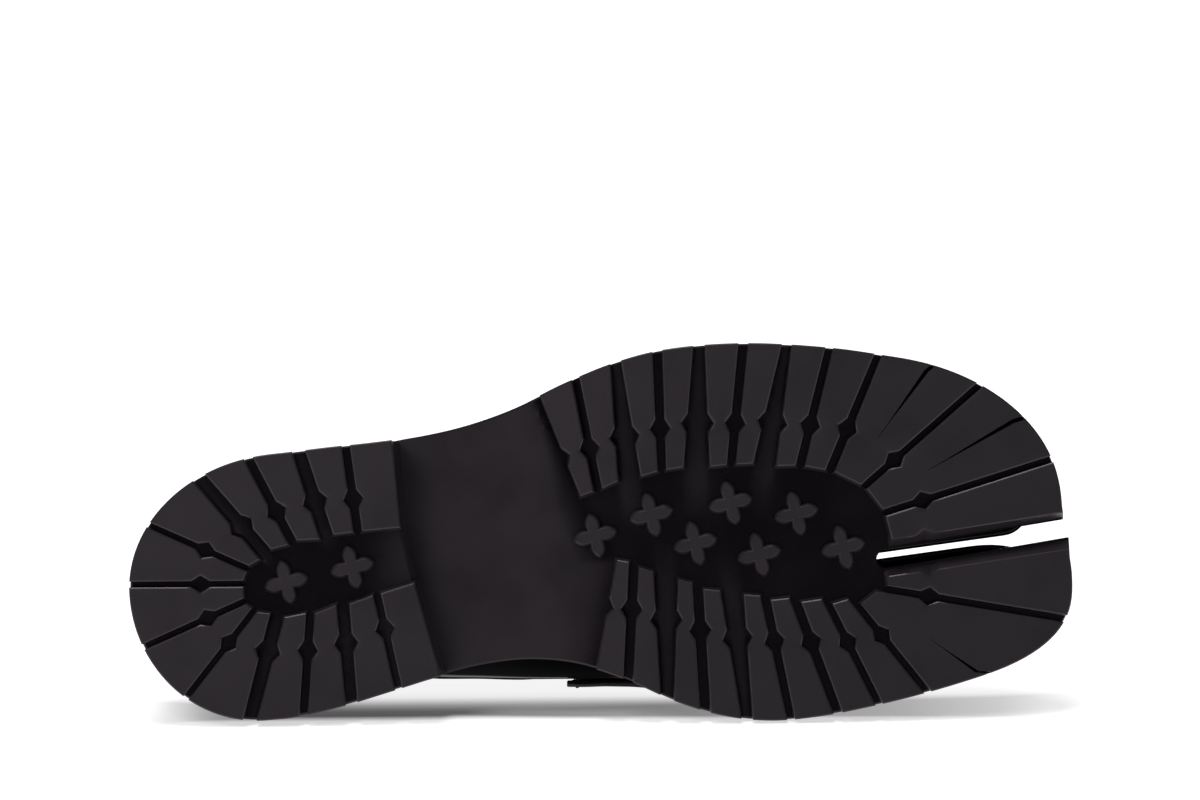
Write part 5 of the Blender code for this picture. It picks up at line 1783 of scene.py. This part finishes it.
class SHOE_OT_stage(bpy.types.Operator):
    """Set the pale floor, the soft light and the camera of the photograph"""
    bl_idname = "shoe.stage"
    bl_label = "Stage"

    def execute(self, context):
        stage = context.scene.shoe_stage
        mesh = bpy.data.meshes.new("studio_floor")
        corners = [(x * FLOOR_REACH, y * FLOOR_REACH, 0) for x, y in ((-1, -1), (1, -1), (1, 1), (-1, 1))]
        mesh.from_pydata(corners, [], [(0, 1, 2, 3)])
        mesh.materials.append(pale_floor("matte_light_table", context.scene.shoe_colours.floor))
        floor = link_object("studio_floor", mesh)

        world = bpy.data.worlds.new("even_studio_sky")
        world.use_nodes = True
        background = world.node_tree.nodes["Background"]
        set_sockets(world.node_tree, background, (("Color", (1, 1, 1, 1)), ("Strength", stage.sky)))
        context.scene.world = world

        sun = bpy.data.lights.new("broad_top_light", "SUN")
        sun.energy = stage.sun
        sun.angle = stage.sun_angle
        top = link_object("broad_top_light", sun)
        top.rotation_euler = [math.radians(tilt) for tilt in TOP_LIGHT_TILT]

        box = bpy.data.lights.new("softbox", "AREA")
        box.energy = stage.box_power
        box.size = BOX_SIZE
        over = link_object("softbox", box)
        over.location = BOX_PLACE
        over.rotation_euler = Vector(BOX_AIM).to_track_quat("-Z", "Y").to_euler()

        camera = bpy.data.cameras.new("photo_camera")
        camera.lens = stage.lens
        camera.sensor_width = SENSOR_WIDTH
        camera.clip_end = CAMERA_RANGE
        ahead, lateral, towards = TURN[:, 0], -TURN[:, 1], -TURN[:, 2]
        slant = math.radians(PHOTO_SLANT)
        right = ahead * math.cos(slant) - lateral * math.sin(slant)
        up = ahead * math.sin(slant) + lateral * math.cos(slant)
        distance = PHOTO_WIDTH_PX / PHOTO_PX_PER_MM * MM * stage.lens / SENSOR_WIDTH
        place = to_frame(PHOTO_CENTRE) + towards * distance
        view = np.eye(4)
        view[:3, 0], view[:3, 1], view[:3, 2], view[:3, 3] = right, up, towards, place
        eye = link_object("photo_camera", camera)
        eye.matrix_world = Matrix(view.tolist())
        context.scene.camera = eye
        context.scene.view_settings.view_transform = "Standard"
        return {"FINISHED"}


class SHOE_PT_panel(bpy.types.Panel):
    """Buttons and settings of the shoe"""
    bl_idname = "SHOE_PT_panel"
    bl_label = "Tabi Loafer"
    bl_space_type = "VIEW_3D"
    bl_region_type = "UI"
    bl_category = "Shoe"

    def draw(self, context):
        for operator in OPERATORS:
            self.layout.operator(operator.bl_idname)
        for group in SETTINGS:
            box = self.layout.box()
            settings = getattr(context.scene, group)
            for name in settings.bl_rna.properties.keys():
                if name not in ("rna_type", "name"):
                    box.prop(settings, name)


OPERATORS = (SHOE_OT_outsole, SHOE_OT_heel, SHOE_OT_layers, SHOE_OT_upper, SHOE_OT_strap, SHOE_OT_stitches,
             SHOE_OT_stage)
SETTINGS = {"shoe_sole": ShoeSoleSizes, "shoe_thread": ShoeThreadSizes, "shoe_colours": ShoeColours,
            "shoe_stage": ShoeStage}


def register():
    """Register the settings, operators and panel, and hang the settings on the scene."""
    for group in (*SETTINGS.values(), *OPERATORS, SHOE_PT_panel):
        bpy.utils.register_class(group)
    for name, group in SETTINGS.items():
        setattr(bpy.types.Scene, name, PointerProperty(type=group))


def unregister():
    """Undo register."""
    for name in SETTINGS:
        delattr(bpy.types.Scene, name)
    for group in (SHOE_PT_panel, *reversed(OPERATORS), *reversed(list(SETTINGS.values()))):
        bpy.utils.unregister_class(group)


def main():
    """Build every piece and the stage."""
    register()
    bpy.ops.shoe.outsole()
    bpy.ops.shoe.heel()
    bpy.ops.shoe.layers()
    bpy.ops.shoe.upper()
    bpy.ops.shoe.strap()
    bpy.ops.shoe.stitches()
    bpy.ops.shoe.stage()


if __name__ == "__main__":
    main()
